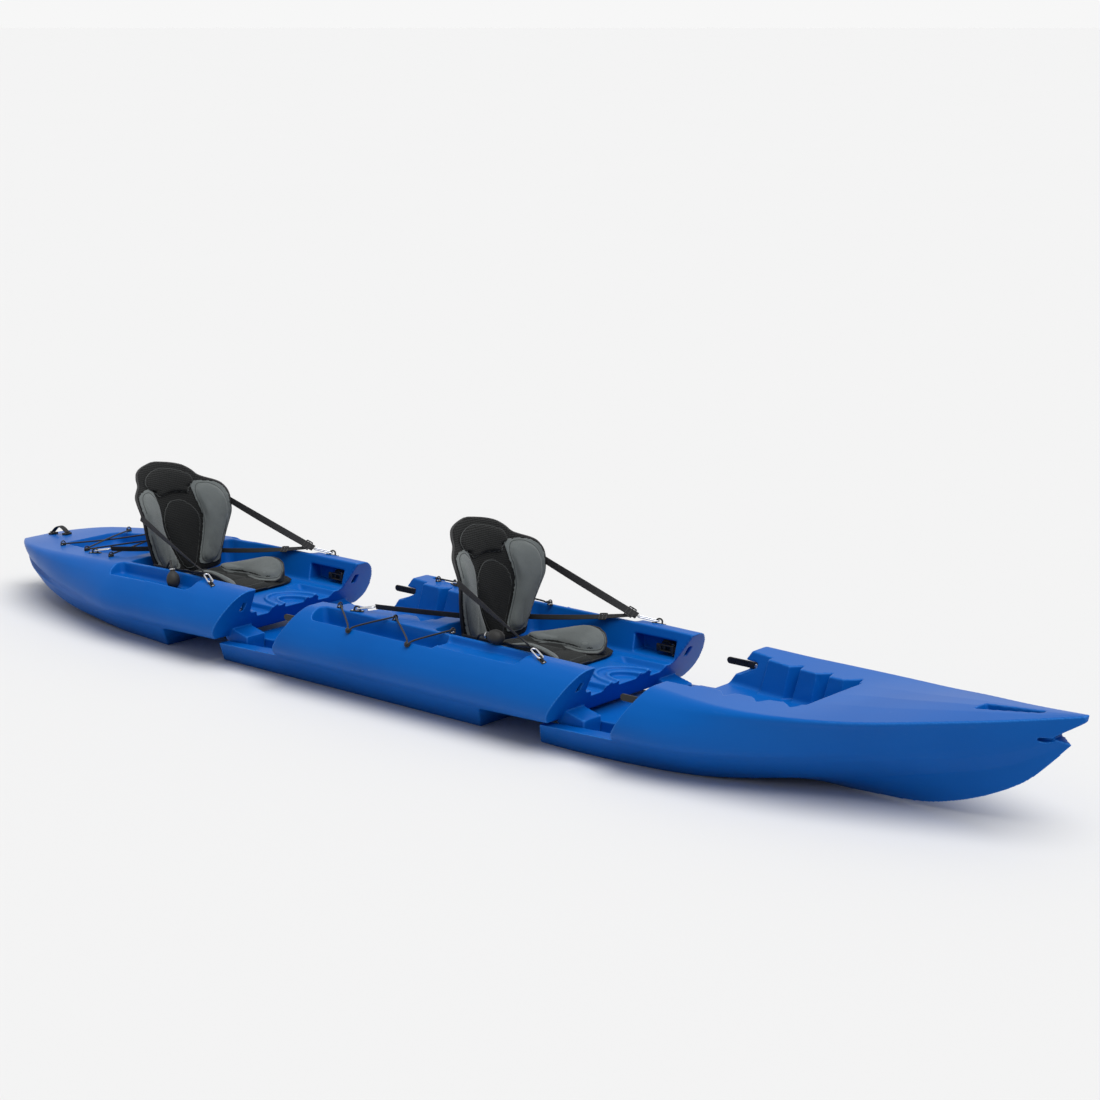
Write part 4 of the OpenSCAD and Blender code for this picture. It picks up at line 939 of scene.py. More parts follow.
def makeSeat(label, x0, lean, hullBody, backBody):
    q = seat

    def at(p):
        return (x0 + p[0], p[1], p[2])

    def sewn(name, cushion, spot, finishName, body, *size):
        settle(seam(label + name, cushion, spot, finishName, *size), None, body, "seat_black")

    # backrest panel, black knit over a thin foam board
    def panelShape(a, b, c):
        v = (b + 1) / 2
        end = min(1, 0.45 + 0.55 * math.sqrt(max(0, 1 - abs(b) ** 24)))
        w = backWide(v)
        return at((backMid(a * w, v, lean) + c * end * panelHalf(a), a * w, backZ + rise(v, lean)))
    panel = padForm(label + "BackPanel", 47, panelShape)
    modify(panel, "SMOOTH", factor=0.5, iterations=2)
    padPiece(smoothLook(panel), 0.9, "knit", backBody, "seat_black", label + "_back_panel")

    # piping sewn round the edge of the panel
    edge = [(1, v / 60) for v in range(1, 60)] + [(u, 1) for u in (0.5, 0, -0.5)] + [
        (-1, v / 60) for v in range(59, 0, -1)] + [(u, 0) for u in (-0.5, 0, 0.5)]
    loop = [at((backMid(s * backWide(v), v, lean), s * backWide(v), backZ + rise(v, lean)))
            for s, v in edge]
    settle(tube(label + "BackPiping", smoothPath(loop, 2, True), 4.6, 10, True), "piping", backBody,
           "seat_black")

    def onPanel(p):
        v = max(0, min(1, (p.z - backZ) / rise(1, lean)))
        return p.x - x0 - panelFront(p.y, v, lean)

    # side bolster: a flat sewn border and a raised lobe
    def bolsterShape(a, b, c):
        p, s = rounded(a, b, 0.12)
        v = mix(0.05, 0.825, (s + 1) / 2)
        y = mix(run(v, q["bolsterIn"]), run(v, q["bolsterOut"]), (p + 1) / 2) * backWide(v)
        high = lobe((a + 0.08) / 0.74, b / 0.9, 10)
        deep = (c + 1) / 2 * (4 + (q["bolster"] - 4) * high)
        return at((panelFront(y, v, lean) + 0.6 + deep, y, backZ + rise(v, lean)))
    port = stuffed(padForm(label + "BackBolsterPort", 31, bolsterShape), lambda p: onPanel(p) < 7.5, 5, 4.0)
    thread = seam(label + "BolsterSeamPort", port,
                  lambda a, b: bolsterShape(0.77 * a - 0.08, 0.93 * b, 1), "seam")
    for piece, side in bothSides(port):
        padPiece(piece, 0.8, "grey", backBody, "seat_grey", label + "_back_bolster_" + side)
    for piece, side in bothSides(thread):
        settle(piece, None, backBody, "seat_grey")

    # head pad over the shoulders, arched along its lower edge
    def headWide(v):
        inner = (run(min(v, 0.8), q["bolsterIn"]) * backWide(v) - 3) if v < 0.8 else 999
        return min(0.86 * backWide(v), inner, 112 + 100 * max(0, v - 0.8))

    def headShape(a, b, c):
        p, s = rounded(a, b, 0.16)
        v = mix(0.69 + 0.055 * (1 - p * p), 0.965 - 0.05 * p * p, (s + 1) / 2)
        y = p * headWide(v)
        high = lobe(a / 0.93, b / 0.9)
        deep = (c + 1) / 2 * (3 + 14 * high)
        return at((panelFront(y, v, lean) + 0.6 + deep, y, backZ + rise(v, lean)))
    head = stuffed(padForm(label + "HeadPad", 31, headShape), lambda p: onPanel(p) < 5, 4, 4.0)
    sewn("HeadSeam", head, lambda a, b: headShape(0.94 * a, 0.92 * b, 1), "knitLine", backBody)
    padPiece(head, 0.8, "knit", backBody, "seat_black", label + "_head_pad")

    # centre of the back: a shield of knit between the bolsters, arched at the top
    def shieldShape(a, b, c):
        p, s = rounded(a, b, 0.12)
        v = mix(0.035, 0.62 + 0.08 * (1 - p * p), (s + 1) / 2)
        y = p * (run(max(0.06, v), q["bolsterIn"]) * backWide(v) - 4)
        high = lobe(a / 0.92, b / 0.96)
        deep = (c + 1) / 2 * (2 + 8 * high)
        return at((panelFront(y, v, lean) + 0.4 + deep, y, backZ + rise(v, lean)))
    shield = stuffed(padForm(label + "BackShield", 31, shieldShape), lambda p: onPanel(p) < 3.5, 4, 4.5)
    sewn("ShieldSeam", shield, lambda a, b: shieldShape(0.94 * a, 0.95 * b, 1), "knitLine", backBody)
    padPiece(shield, 0.7, "knit", backBody, "seat_black")

    # seat pad: sewn channels along and across
    def padTop(u, v):
        a = abs(u)
        channel = max(0, 1 - abs(a - q["channel"]) / 0.1)
        fill = max(0, 1 - a / q["channel"])
        crossing = 0
        if a < 0.4:
            crossing = sum(max(0, 1 - abs(v - c) / 0.05) for c in q["crossings"])
        crown = (1 - min(1, a) ** 14) ** 0.5
        return ((q["padThick"] - 5) * run(v, q["padEdge"]) * (0.35 + 0.65 * crown) - 7 * channel
                + 6 * math.sqrt(fill) - 6 * crossing)

    def padShape(a, b, c):
        v = (b + 1) / 2
        half = q["padHalf"] * run(v, q["padPlan"])
        z0 = q["floor"] + 0.4
        top = z0 + 8 + padTop(a, v) * 0.84
        low = z0 + 5 * max(0, abs(a) - 0.9) / 0.1 + 6 * max(0, abs(b) - 0.96) / 0.04
        return at((q["padStart"] + v * q["padLong"], a * half, mix(low, top, (c + 1) / 2)))

    def padHeld(p):
        v = max(0, min(1, (p.x - x0 - q["padStart"]) / q["padLong"]))
        u = abs(p.y) / (q["padHalf"] * run(v, q["padPlan"]))
        if p.z < q["floor"] + 6:
            return True
        return abs(u - q["channel"]) < 0.025 or (
            u < 0.37 and min(abs(v - c) for c in q["crossings"]) < 0.012)
    pad = stuffed(padForm(label + "SeatPad", 63, padShape), padHeld, 6)
    sewn("PadSeam", pad, lambda a, b: padShape(q["channel"] * a, 0.88 * b, 1), "knitLine", hullBody, 1.2)
    sewn("PadWelt", pad, lambda a, b: padShape(a, b, 0.1), "piping", hullBody, 3.2, True)
    padPiece(pad, 0.7, "black", hullBody, "seat_black", label + "_seat_pad")

    # thigh wings: grey teardrops that rise outwards, with a sewn border, and black cloth on the faces that
    # don't face up as painted shade on the flanks
    def thighAt(p, v):
        t = (p + 1) / 2
        inner, outer = run(v, q["thighIn"]), run(v, q["thighOut"])
        return mix(inner, outer, t), mix(q["floor"] + 22, run(v, q["thighRise"]), t), mix(203, 193, t)

    def thighShape(a, b, c):
        p, s = rounded(a, b, 0.1)
        v = (s + 1) / 2
        y, top, low = thighAt(p, v)
        high = q["thigh"] * lobe((a - 0.02) / 0.78, b / 0.92, 9)
        x = q["padStart"] + q["thighStart"] + v * q["padLong"] * q["thighLong"]
        return at((x, y, mix(low, top + high, (c + 1) / 2)))

    def thighHeld(p):
        along = (p.x - x0 - q["padStart"] - q["thighStart"]) / (q["padLong"] * q["thighLong"])
        v = max(0, min(1, along))
        inner, outer = run(v, q["thighIn"]), run(v, q["thighOut"])
        return p.z < thighAt(2 * (p.y - inner) / (outer - inner) - 1, v)[1] + 3
    port = stuffed(padForm(label + "ThighWingPort", 35, thighShape), thighHeld, 4, 4.0)
    thread = seam(label + "ThighSeamPort", port,
                  lambda a, b: thighShape(0.8 * a + 0.02, 0.95 * b, 1), "seam")
    welt = seam(label + "ThighWeltPort", port, lambda a, b: thighShape(a, b, 1), "piping", 3.0, True)
    for piece, side in bothSides(port):
        settle(piece, "grey", hullBody, "seat_grey", label + "_thigh_bolster_" + side)
        # painted shade: faces that don't face up take the black cloth in place of the shadow on the flanks
        piece.data.materials.append(finish["black"])
        for face in piece.data.polygons:
            face.material_index = 1 if face.normal.z < 0.3 else 0
    for piece, side in bothSides(thread) + bothSides(welt):
        settle(piece, None, hullBody, "seat_grey")
    print("  ", label, "seat")


frontLean, rearLean = 0.12, 0.28
makeSeat("front", frontX, frontLean, "mid", "front_back")
makeSeat("rear", sternX, rearLean, "stern", "rear_back")

print("stage: webbing and hooks")
rig = {"web": 25, "lowWeb": 17.5, "aftWeb": 20.0, "thick": 2.4, "wire": 3.0, "loop": 10, "ringTop": 9.2,
       "plate": 46, "gap": 0.4, "eyeX": 292, "eyeY": 294.08, "rollEdge": 280.1, "roll": 16.0,
       "hookRun": (-62, -32, 12), "aftRun": (58, -24, 20), "hookPull": 1.1, "hookHalf": 9, "hookGap": 3.8,
       "rearEye": (-452, 206), "frontEye": (-564, 240), "upper": (0.62, 0.66), "lower": (0.14, 0.17),
       "sewnY": 112, "lowStart": (-6, 0, 3)}


def rail(s):
    return halfSection(s)[9][1]


def slope(s):
    return math.atan((rail(s + 20) - rail(s - 20)) / 40)


# a matrix that stands a piece made in mm round the origin at a place in mm
def stand(place, *turns):
    made = Matrix.Translation(Vector(place) * mm)
    for axis, angle in turns:
        made = made @ Matrix.Rotation(angle, 4, axis)
    return made


# block with eased edges, from corner to corner in mm
def block(name, low, high, ease=1.0, segments=3):
    obj = added(name, bpy.ops.mesh.primitive_cube_add, size=2)
    for point in obj.data.vertices:
        point.co = Vector([(high if c > 0 else low)[i] * mm for i, c in enumerate(point.co)])
    bevelEdges(obj, lambda a, b: True, ease * mm, segments)
    return smoothLook(obj, 40)


# a profile of (radius, height) in mm turned round the Z axis
def turned(name, profile, around=28):
    far = len(profile) - 1

    def place(u, v):
        r, z = profile[round(v * far)]
        a = 2 * math.pi * round(u * around) / around
        return (r * math.cos(a), r * math.sin(a), z)
    return smoothLook(outwards(laidGrid(name, around, far, place), 1e-6), 35)


# woven strip along a path in mm, turning from its first side line to its last
def strip(name, path, wide, thick, sides, narrow=1.0):
    points = [Vector(p) for p in path]
    far = len(points) - 1
    around = 16
    frames, lengths = [], [0.0]
    for i, p in enumerate(points):
        t = (points[min(i + 1, far)] - points[max(i - 1, 0)]).normalized()
        s = mix(Vector(sides[0]).normalized(), Vector(sides[1]).normalized(), i / far)
        s = (s - t * s.dot(t)).normalized()
        frames.append((s, t.cross(s)))
        if i:
            lengths.append(lengths[-1] + (p - points[i - 1]).length)

    def across(u):
        a = 2 * math.pi * round(u * around) / around
        c, n = math.cos(a), math.sin(a)
        return math.copysign(abs(c) ** 0.35, c) / 2, math.copysign(abs(n) ** 0.6, n) / 2

    def place(u, v):
        i = round(v * far)
        c, n = across(u)
        s, up = frames[i]
        return points[i] + s * (c * wide * mix(1.0, narrow, v)) + up * (n * thick)
    obj = laidGrid(name, around, far, place)
    for loop in obj.data.uv_layers.active.data:
        loop.uv = (lengths[round(loop.uv.y * far)] * mm, 0.5 + across(loop.uv.x)[0])
    return smoothLook(obj, 50)


def between(a, b, count, sag=0.0):
    a, b = Vector(a), Vector(b)
    return [a.lerp(b, i / count) - Vector((0, 0, sag * 4 * (i / count) * (1 - i / count)))
            for i in range(count + 1)]


# snap hook: a long wire ring and its spring gate
def snapHook(name, a, b):
    a, b = Vector(a), Vector(b)
    t = (b - a).normalized()
    s = t.cross(Vector((0, 0, 1))).normalized()
    half, w, centre = (b - a).length / 2 - rig["hookHalf"], rig["hookHalf"], (a + b) / 2
    bend = [math.pi * (k / 10 - 0.5) for k in range(11)]
    ring = [centre + t * (half + w * math.cos(g)) + s * (w * math.sin(g)) for g in bend]
    ring += [centre - t * (half + w * math.cos(g)) - s * (w * math.sin(g)) for g in bend]
    gate = between(centre - t * (half * 0.2) - s * (w - 1.2), centre + t * half - s * (w - 1.2), 4)
    pieces = [tube(name, ring, rig["wire"] - 0.3, 12, True), tube(name + "Gate", gate, 2.3, 10)]
    return [dress(piece, "steel") for piece in pieces]


# three-bar slider that the webbing doubles through, lying in the strip's plane
def slider(name, centre, along, side, wide):
    along, side = Vector(along).normalized(), Vector(side)
    side = (side - along * side.dot(along)).normalized()
    centre, h, l = Vector(centre), wide / 2 + 3.5, 13
    corners = [(l, h - 3), (l - 3, h), (-l + 3, h), (-l, h - 3), (-l, -h + 3), (-l + 3, -h), (l - 3, -h),
               (l, -h + 3)]
    frameLine = smoothPath([centre + along * x + side * y for x, y in corners], 3, True)
    bar = between(centre - side * h, centre + side * h, 4)
    return joined(name, [dress(tube(name, frameLine, 2.3, 10, True), "latch"),
                         dress(tube(name + "Bar", bar, 2.3, 10), "latch")])


# plate with a standing wire loop and two screw heads, on Z = 0, loop across X
def padEye(name, plate, half, wire, acrossY=False):
    arc = [(-half, 1.0)] + [(-half * math.cos(math.pi * k / 14), 7 + half * math.sin(math.pi * k / 14))
                            for k in range(15)] + [(half, 1.0)]
    path = [(0, x, z) if acrossY else (x, 0, z) for x, z in arc]
    pieces = [dress(block(name, (-plate / 2, -8, 0), (plate / 2, 8, 3), 1.2), "latch"),
              dress(tube(name + "Loop", path, wire, 12), "latch")]
    for k in (-1, 1):
        head = turned(name + "Screw", [(0, 4.3), (1.2, 4.25), (2.6, 3.8), (3.1, 2.8), (0, 2.8)], 16)
        reach = (0, k * 5.4, 0) if acrossY else (k * (plate / 2 - 4.6), 0, 0)
        head.data.transform(Matrix.Translation(Vector(reach) * mm))
        pieces.append(dress(head, "steel"))
    return joined(name, pieces)


def flipped(p):
    return Vector((p[0], -p[1], p[2]))


# straps, sliders, hooks and pad eyes of one seat
def makeRig(label, hullName, x0, lean, hullBody, aftEye, aftTilt):
    q, deck = rig, lines["depth"]
    ringTop, gap = q["ringTop"], q["gap"]
    run1, run2 = Vector(q["hookRun"]), Vector(q["aftRun"])
    roll = math.radians(q["roll"])
    eye = Vector((x0 + q["eyeX"], q["eyeY"], deck - (q["eyeY"] - q["rollEdge"]) * math.tan(roll) + gap))
    tip = eye + Vector((0, 2, ringTop)) + run1.normalized() * q["hookPull"]
    hookEnd = tip + run1
    aft = Vector((x0 + aftEye[0], aftEye[1], aftEye[2]))
    aftTip = aft + Vector((0, 0, ringTop)) + run2.normalized() * q["hookPull"]
    aftEnd = aft + run2
    stop = hookEnd + run1.normalized() * q["hookGap"]
    aftStop = aftEnd + run2.normalized() * q["hookGap"]

    # where a strap is sewn to the backrest's edge
    def onEdge(v, outV, back):
        x, off = x0 + backMid(backWide(v), v, lean) - back, q["thick"] / 2 + 0.2
        return Vector((x, backWide(outV) + off, backZ + rise(v, lean)))
    up, low = onEdge(*q["upper"], 6), onEdge(*q["lower"], 2)
    aftV = (deck - seat["floor"] + 8.68) / seat["backHigh"]
    sewnX = x0 + backMid(q["sewnY"], aftV, lean) - seat["backThick"] / 2 - 1.5 - 4.3 * lean
    sewn = Vector((sewnX, q["sewnY"], backZ + rise(aftV, lean)))
    lowStart = stop + Vector(q["lowStart"])

    # webbing is laid in place with its transform baked, and the solids it stands for are hidden
    def tied(obj, slot, start, end, *solids):
        start * mm
        end * mm
        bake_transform(obj)
        if solids:
            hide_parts(*solids)

    hooks, aftHooks, eyes = [], [], []
    for side, hand, k in (("Port", Vector, 1), ("Starboard", flipped, -1)):
        def web(name, path, wide, *sides):
            woven = strip(label + name + side, path, wide, q["thick"], [hand(p) for p in sides])
            return dress(woven, "webbing")
        upper = web("SideStrap", between(hand(stop), hand(up), 40, 1.5), q["web"],
                    (0.25, 0.8, 0.55), (0.3, 0, 1))
        tied(upper, "webbing", hand(stop), hand(up), label + "_side_strap_" + side.lower())
        lower = web("LowStrap", between(hand(lowStart), hand(low), 36, 5), q["lowWeb"],
                    (0, 0.9, 0.4), (-0.2, 0, 1))
        tied(lower, "webbing", hand(stop), hand(low))
        mid = hand(lowStart.lerp(low, 0.3)) - Vector((0, 0, 4))
        adjuster = slider(label + "LowSlider" + side, mid, hand(low - stop), hand((0, 0.75, 0.6)),
                          q["lowWeb"])
        tied(adjuster, "fitting", hand(stop), hand(low))
        buckle = slider(label + "SideSlider" + side, hand(stop.lerp(up, 0.07)), hand(up - stop),
                        hand((0.25, 0.76, 0.58)), q["web"])
        settle(buckle, None, hullBody, "fitting")
        back = web("AftStrap", between(hand(aftStop), hand(sewn), 24, 1), q["aftWeb"],
                   (0, 0.4, 1), (0, 0.25, 1))
        tied(back, "webbing", hand(aftStop), hand(sewn), label + "_aft_strap_" + side.lower())
        hooks += snapHook(label + "SnapHook", hand(hookEnd), hand(tip))
        aftHooks += snapHook(label + "AftHook", hand(aftEnd), hand(aftTip))
        for place, tilt, turn in ((eye, ("X", -roll * k), math.atan2(-run1.y, -run1.x)),
                                  (aft, ("Y", -aftTilt), math.atan2(run2.y, run2.x))):
            plate = padEye(hullName + "PadEye", q["plate"], q["loop"], q["wire"])
            plate.data.transform(stand(hand(place), tilt, ("Z", turn * k)))
            eyes.append(plate)
    settle(joined(label + "SnapHooks", hooks), None, hullBody, "hook", label + "_snap_hooks")
    settle(joined(label + "AftHooks", aftHooks), None, hullBody, "hook", label + "_aft_hooks")
    settle(joined(hullName + "PadEyes", eyes), None, hullBody, "fitting", hullName + "_pad_eyes")


deckTop = lines["depth"] + rig["gap"]
rearS = rig["rearEye"][0]
makeRig("front", "mid", frontX, frontLean, "mid", rig["frontEye"] + (deckTop,), 0.0)
makeRig("rear", "stern", sternX, rearLean, "stern",
        rig["rearEye"] + (rail(rearS) + rig["gap"],), slope(rearS))

print("stage: pumps and hoses")
pump = {"bulb": 21, "hose": 4.0, "full": 1.15, "end": (-88, -154, 204),
        "rear": {"at": (92, -297, 266), "turns": [("Y", math.radians(-14)), ("X", math.radians(-8))],
                 "route": [(40, -262, 312), (-6, -226, 304), (-44, -214, 262), (-74, -194, 216)]},
        "front": {"at": (64, -252, 307.5), "turns": [("Y", -math.pi / 2)],
                  "route": [(6, -246, 304), (-26, -230, 292), (-54, -214, 258), (-78, -190, 214)]},
        "profile": [(0, -1.3), (5, -1.29), (10, -1.2), (15, -0.98), (18.6, -0.66), (20.6, -0.28),
                    (20.9, 0.06), (19.4, 0.42), (16.2, 0.76), (12, 1.02), (8.6, 1.18), (7.4, 1.27),
                    (7.9, 1.31), (7.9, 1.42), (6.7, 1.46), (6.7, 1.66), (6.2, 1.7), (0, 1.7)],
        "collar": [(7.2, 1.46), (9.2, 1.46), (9.2, 1.6), (7.2, 1.6), (7.2, 1.46)]}


# a cord along its path
def cordPiece(name, path, radius, finishName, body, slot, solids):
    obj = settle(tube(name, path, radius, 14), finishName, body, slot, *solids)
    2 * radius * mm
    return obj


for label, x0, body in (("rear", sternX, "stern"), ("front", frontX, "mid")):
    q, r = pump[label], pump["bulb"]
    bulb = turned(label + "Bulb", [(a, b * r) for a, b in pump["profile"]], 36)
    dress(bulb, "rubber")
    collar = dress(turned(label + "Collar", [(a, b * r) for a, b in pump["collar"]], 28), "steel")
    both = joined(label + "Pump", [bulb, collar])
    x, y, z = q["at"]
    place = stand((x0 + x, y, z), *q["turns"]) @ Matrix.Scale(pump["full"], 4)
    both.data.transform(place)
    settle(both, None, body, "pump", label + "_pump")
    start = place @ Vector((0, 0, 1.6 * r * mm)) / mm
    points = [start - Vector((x0, 0, 0))] + [Vector(p) for p in q["route"] + [pump["end"]]]
    xs, ys, zs = [[(k / 5, p[i]) for k, p in enumerate(points)] for i in range(3)]
    path = [(x0 + run(i / 40, xs), run(i / 40, ys), run(i / 40, zs)) for i in range(41)]
    cordPiece(label + "Hose", path, pump["hose"], "rubber", body, "pump", [label + "_hose"])

print("stage: bungees")
cords = {"radius": 3.0, "tankS": (-700, -520, -340), "tankY": (160, 190, 222), "eyeS": (575, 832, 1088),
         "knobS": (718, 986), "line": 241, "knob": (340.96, 246.1), "knobOut": (0.768, 0.640), "grip": 7.8,
         "gripOut": 6.7, "eyePlate": 16, "eyeWire": 2.1,
         "knobTurned": [(0, 0.4), (7.4, 0.4), (8, 1), (8, 2.2), (5, 3.2), (4, 4.4), (4, 9.2), (5, 10),
                        (7.6, 10.5), (8, 11.6), (7.4, 13.6), (5.4, 15.2), (2.4, 15.9), (0, 16)]}


def turnAt(s, y):
    z = rail(s) + 7.2
    k = 1 if y > 0 else -1
    return [(sternX + s - 7, y - 5 * k, z), (sternX + s, y, z), (sternX + s + 7, y - 5 * k, z)]


def crossing(k, i):
    a, b = cords["tankS"][i], cords["tankS"][i + 1]
    return [(sternX + mix(a, b, 0.46), 0, mix(rail(a), rail(b), 0.46) + 6 + 3.6 * k)]


for k, name, solids in ((1, "sternBungee", ["stern_bungee"]), (-1, "sternBungeeOther", [])):
    s, y = cords["tankS"], cords["tankY"]
    points = (turnAt(s[0], y[0] * k) + crossing(k, 0) + turnAt(s[1], -y[1] * k) + crossing(k, 1)
              + turnAt(s[2], y[2] * k))
    cordPiece(name, smoothPath(points, 8), cords["radius"], "bungee", "stern", "bungee", solids)


def cordEye(name, place, *turns):
    eye = padEye(name, cords["eyePlate"], rig["loop"], cords["eyeWire"], True)
    eye.data.transform(stand(place, *turns))
    return eye


eyes = [cordEye("tankEye", (sternX + s, y * k, rail(s) + rig["gap"]), ("Y", -slope(s)))
        for s, y in zip(cords["tankS"], cords["tankY"]) for k in (1, -1)]
settle(joined("sternBungeeEyes", eyes), None, "stern", "fitting", "stern_bungee_eyes")

nY, nZ = cords["knobOut"]
cordZ = deckTop + cords["radius"] + 6.2


# the bungee's way round a knob, below it and outside
def peg(s):
    out, r = cords["gripOut"], cords["grip"]
    y, z = cords["knob"][0] + out * nY, cords["knob"][1] + out * nZ
    dy, dz = nZ * r, -nY * r
    return [(s - 18, y - 16, z + 13), (s - r, y, z), (s - 0.7 * r, y + 0.75 * dy, z + 0.75 * dz),
            (s, y + dy, z + dz), (s + 0.7 * r, y + 0.75 * dy, z + 0.75 * dz), (s + r, y, z),
            (s + 18, y - 16, z + 13)]


e, y0 = cords["eyeS"], cords["line"]
points = ([(e[0] - 9, y0, cordZ), (e[0] + 4, y0 + 2, cordZ)] + peg(cords["knobS"][0])
          + [(e[1] - 7, y0 + 4, cordZ), (e[1], y0, cordZ), (e[1] + 7, y0 + 4, cordZ)] + peg(cords["knobS"][1])
          + [(e[2] - 4, y0 + 2, cordZ), (e[2] + 9, y0, cordZ)])
line = smoothPath([(midX + x, y, z) for x, y, z in points], 5)
cordPiece("midBungeePort", line, cords["radius"], "bungee", "mid", "bungee", ["mid_bungee_port"])
cordPiece("midBungeeStarboard", [flipped(p) for p in line], cords["radius"], "bungee", "mid", "bungee",
          ["mid_bungee_starboard"])
fittings = []
for k in (1, -1):
    fittings += [cordEye("troughEye", (midX + s, y0 * k, deckTop)) for s in e]
    for s in cords["knobS"]:
        knob = turned("troughKnob", cords["knobTurned"], 24)
        knob.data.transform(stand((midX + s, cords["knob"][0] * k, cords["knob"][1]),
                                  ("X", -math.atan2(nY, nZ) * k)))
        fittings.append(dress(knob, "latch"))
settle(joined("midBungeeFittings", fittings), None, "mid", "stud", "mid_bungee_fittings")

print("stage: straps and ratchets")
ladder = {"root": 475, "long": 140, "y": joint["strapY"], "thick": 5, "z": joint["strapZ"], "half": 11,
          "bolt": 452, "teeth": 8, "pitch": 9, "tooth": 7.5,
          "boltTurned": [(0, -4), (5.2, -4), (6.8, -2.4), (7, -0.6), (6.8, 0), (4.9, 0), (4.9, 8), (0, 8)]}
latch = {"x": 312, "long": 84, "y": 286.6, "z": joint["strapZ"], "plate": 4, "corner": 8, "cheek": 4,
         "inside": 13.5, "pinX": 382, "pinY": 253, "leverHalf": 12.5, "armIn": 7.5,
         "screwTurned": [(0, 2.4), (2.5, 2.3), (4.4, 1.4), (4.8, 0), (0, 0)]}


# strap with a round free end and a row of teeth
def ladderStrap(name, x0):
    q = ladder
    free, r = q["root"] - q["long"], q["half"]
    bend = [math.pi * (k / 12 - 0.5) for k in range(13)]
    outline = [(free + r - r * math.cos(g), q["z"] + r * math.sin(g)) for g in bend]
    outline += [(q["root"], q["z"] + r), (q["root"], q["z"] - r)]
    y = q["y"] - q["thick"] / 2
    obj = prism(name, upright(outline, y, x0), upright(outline, q["y"] + q["thick"] / 2, x0))
    bevelEdges(obj, lambda a, b: abs(a.y - b.y) < 1e-6, 0.7 * mm, 2)
    grooves = []
    for k in range(q["teeth"]):
        x = x0 + free + 14 + q["pitch"] * k
        section = [(x, y - 1), (x + 4.5, y - 1), (x + 4.5, y + 0.1), (x + 3.2, y + 1.6), (x, y + 1.6)]
        low, high = q["z"] - q["tooth"], q["z"] + q["tooth"]
        grooves.append(prism("groove", level(section, low), level(section, high)))
    return smoothLook(cut(obj, grooves), 30)


# plate on the wall, two cheeks, the pin between them and two screws
def ratchetBase(name, x0):
    q = latch
    y1, y0, half, r = q["y"], q["y"] - q["plate"], q["inside"] + q["cheek"], q["corner"]
    x1 = q["x"] + q["long"]
    outline = [(x1 - r + r * math.cos(g), half - r + r * math.sin(g))
               for g in [math.pi * k / 12 for k in range(7)]]
    outline += [(q["x"] + half - half * math.cos(g), half * math.sin(g))
                for g in [math.pi * (0.5 - k / 16) for k in range(9)]]
    outline += [(x, -z) for x, z in reversed(outline[:-1])]
    plate = prism(name, upright(outline, y0, x0, q["z"]), upright(outline, y1, x0, q["z"]))
    bevelEdges(plate, lambda p, r: abs(p.y - r.y) < 1e-6, 1.2 * mm, 3)
    pieces = [dress(smoothLook(plate, 40), "latch")]
    nose = [(x0 + q["pinX"] + 10 * math.cos(g) + 2, q["pinY"] - 8 * math.sin(g) + 2)
            for g in [math.pi * t / 8 for t in range(9)]]
    outline = [(x0 + x1, y0 + 1), (x0 + x1, q["pinY"] - 2)] + nose + [
        (x0 + 356, q["pinY"] + 12), (x0 + 348, y0 + 1)]
    for k in (-1, 1):
        a, b = sorted((q["z"] + k * q["inside"], q["z"] + k * half))
        cheek = prism(name + "Cheek", level(outline, a), level(outline, b))
        bevelEdges(cheek, lambda p, r: abs(p.z - r.z) < 1e-6, 0.8 * mm, 2)
        pieces.append(dress(smoothLook(cheek, 40), "latch"))
    pin = turned(name + "Pin", [(0, -half - 1), (3.6, -half - 1), (3.6, -half - 0.2), (3, -half), (3, half),
                                (3.6, half + 0.2), (3.6, half + 1), (0, half + 1)], 20)
    pin.data.transform(stand((x0 + q["pinX"], q["pinY"], q["z"])))
    pieces.append(dress(pin, "steel"))
    for x in (q["x"] + 10, q["x"] + 30):
        head = turned(name + "Screw", q["screwTurned"], 18)
        head.data.transform(stand((x0 + x, y0, q["z"]), ("X", math.pi / 2)))
        pieces.append(dress(head, "steel"))
    return joined(name, pieces)


# boss on the pin, two arms, and a ribbed grip across their ends
def ratchetLever(name, x0):
    q = latch
    x, y, z, half, inner = x0 + q["pinX"], q["pinY"], q["z"], q["leverHalf"], q["armIn"]
    boss = turned(name, [(3.4, -half), (8.4, -half), (9, -half + 0.6), (9, half - 0.6), (8.4, half),
                         (3.4, half), (3.4, -half)], 28)
    boss.data.transform(stand((x, y, z)))
    blocks = [("Arm", (x - 50, y - 8.2, z - half), (x - 4, y + 8.2, z - inner), 1.4, 3),
              ("Arm", (x - 50, y - 8.2, z + inner), (x - 4, y + 8.2, z + half), 1.4, 3),
              ("Grip", (x - 64, y - 8.4, z - half), (x - 44, y + 1.6, z + half), 4.0, 5),
              ("Web", (x - 46, y - 2, z - 8), (x - 30, y + 6, z + 8), 1.2, 3)]
    blocks += [("Rib", (x - 61 + 5 * t, y - 9.2, z - 9), (x - 58.5 + 5 * t, y - 7.6, z + 9), 0.6, 2)
               for t in range(3)]
    pieces = [boss] + [block(name + part, *sizes) for part, *sizes in blocks]
    return joined(name, [dress(piece, "latch") for piece in pieces])


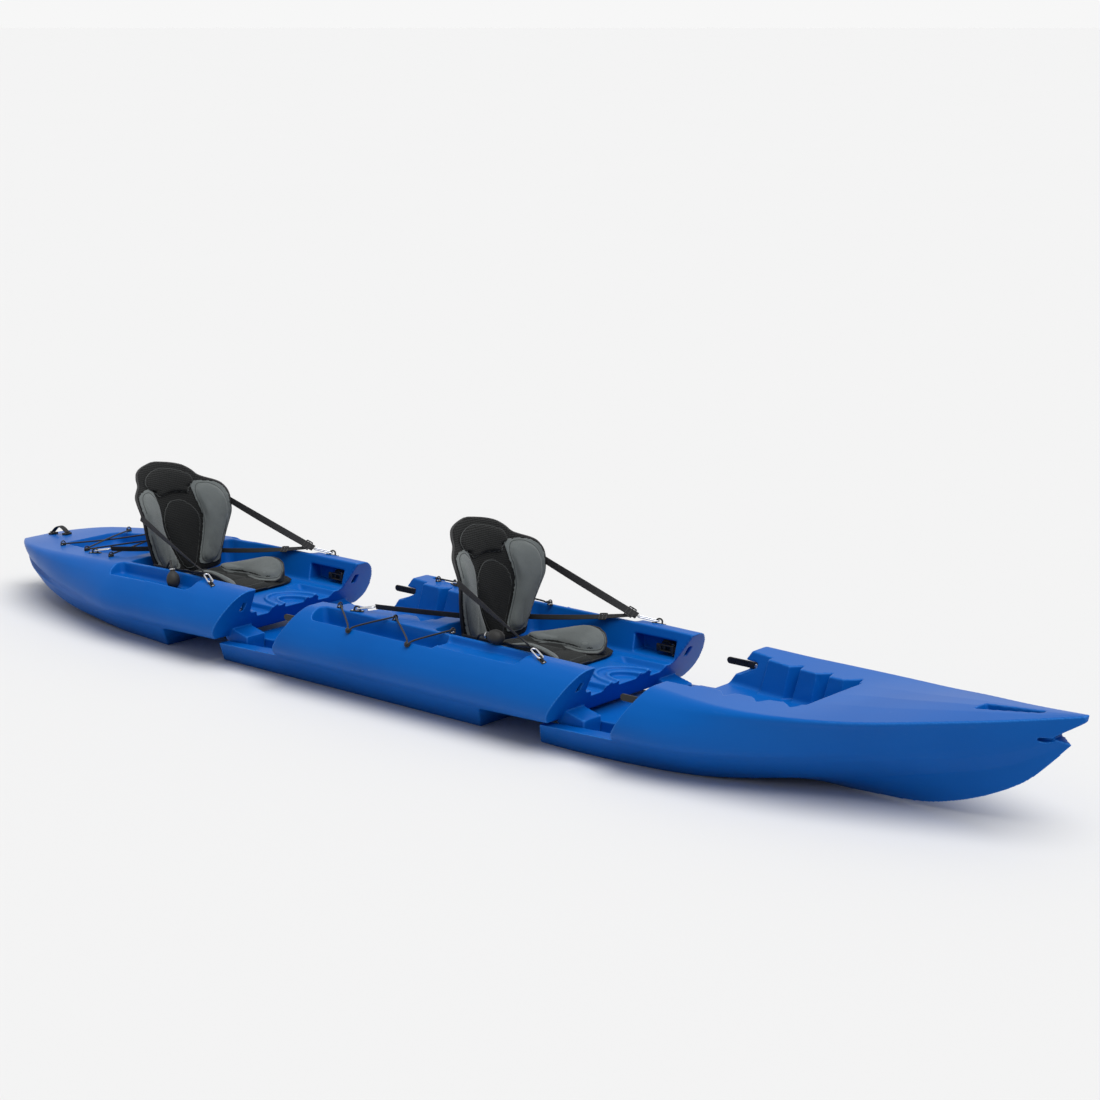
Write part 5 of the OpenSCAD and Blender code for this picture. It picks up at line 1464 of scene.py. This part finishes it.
for label, x0 in (("mid", midX), ("bow", bowX)):
    strap = ladderStrap(label + "LadderStrapPort", x0)
    bolt = turned(label + "StrapBolts", ladder["boltTurned"], 24)
    boltY = ladder["y"] - ladder["thick"] / 2 - 0.4
    bolt.data.transform(stand((x0 + ladder["bolt"], boltY, ladder["z"]), ("X", -math.pi / 2)))
    bolts = [dress(bolt, "steel"), copyOf(bolt, label + "BoltOther", overBoat)]
    settle(copyOf(strap, label + "LadderStrapStarboard", overBoat), "latch", label, "ladder_strap",
           label + "_ladder_strap_starboard")
    settle(strap, "latch", label, "ladder_strap", label + "_ladder_strap_port")
    settle(joined(label + "StrapBolts", bolts), None, label, "bolt", label + "_strap_bolts")
for label, x0 in (("stern", sternX), ("mid", frontX)):
    base = ratchetBase(label + "RatchetBasePort", x0)
    lever = ratchetLever(label + "RatchetLeverPort", x0)
    for piece, side in bothSides(base):
        settle(piece, None, label, "ratchet", label + "_ratchet_base_" + side)
    for piece, side in bothSides(lever):
        settle(piece, None, label + "_lever_" + side, "ratchet", label + "_ratchet_lever_" + side)

print("stage: stern handle")
handle = {"at": (-0.85, -0.775), "wide": 22, "thick": 4, "arch": 22, "up": 11,
          "screwTurned": [(0, 10.6), (2.5, 10.4), (4.6, 9.4), (5, 8.2), (0, 8.2)]}
places = [share * lines["sternLen"] for share in handle["at"]]
grips = [Vector((sternX + s, 0, halfSection(s)[-1][1])) for s in places]
a, b = [grip + Vector((0, 0, handle["up"])) for grip in grips]
tail = (b - a).normalized() * 8
path = [a - tail] + [a.lerp(b, i / 20) + Vector((0, 0, handle["arch"] * math.sin(math.pi * i / 20)))
                     for i in range(21)] + [b + tail]
grip = strip("sternHandle", path, handle["wide"], handle["thick"], ((0, 1, 0), (0, 1, 0)))
settle(grip, "webbing", "stern", "webbing", "stern_handle")
tilt = math.atan2(b.z - a.z, b.x - a.x)
ends = []
for place in grips:
    end = dress(block("handleEnd", (-13, -15, 0.4), (13, 15, 8.4), 2.2, 4), "latch")
    head = turned("handleScrew", handle["screwTurned"], 18)
    piece = joined("sternHandleEnd", [end, dress(head, "steel")])
    piece.data.transform(stand(place, ("Y", -tilt)))
    ends.append(piece)
settle(joined("sternHandleEnds", ends), None, "stern", "fitting", "stern_handle_ends")

print("stage: done")
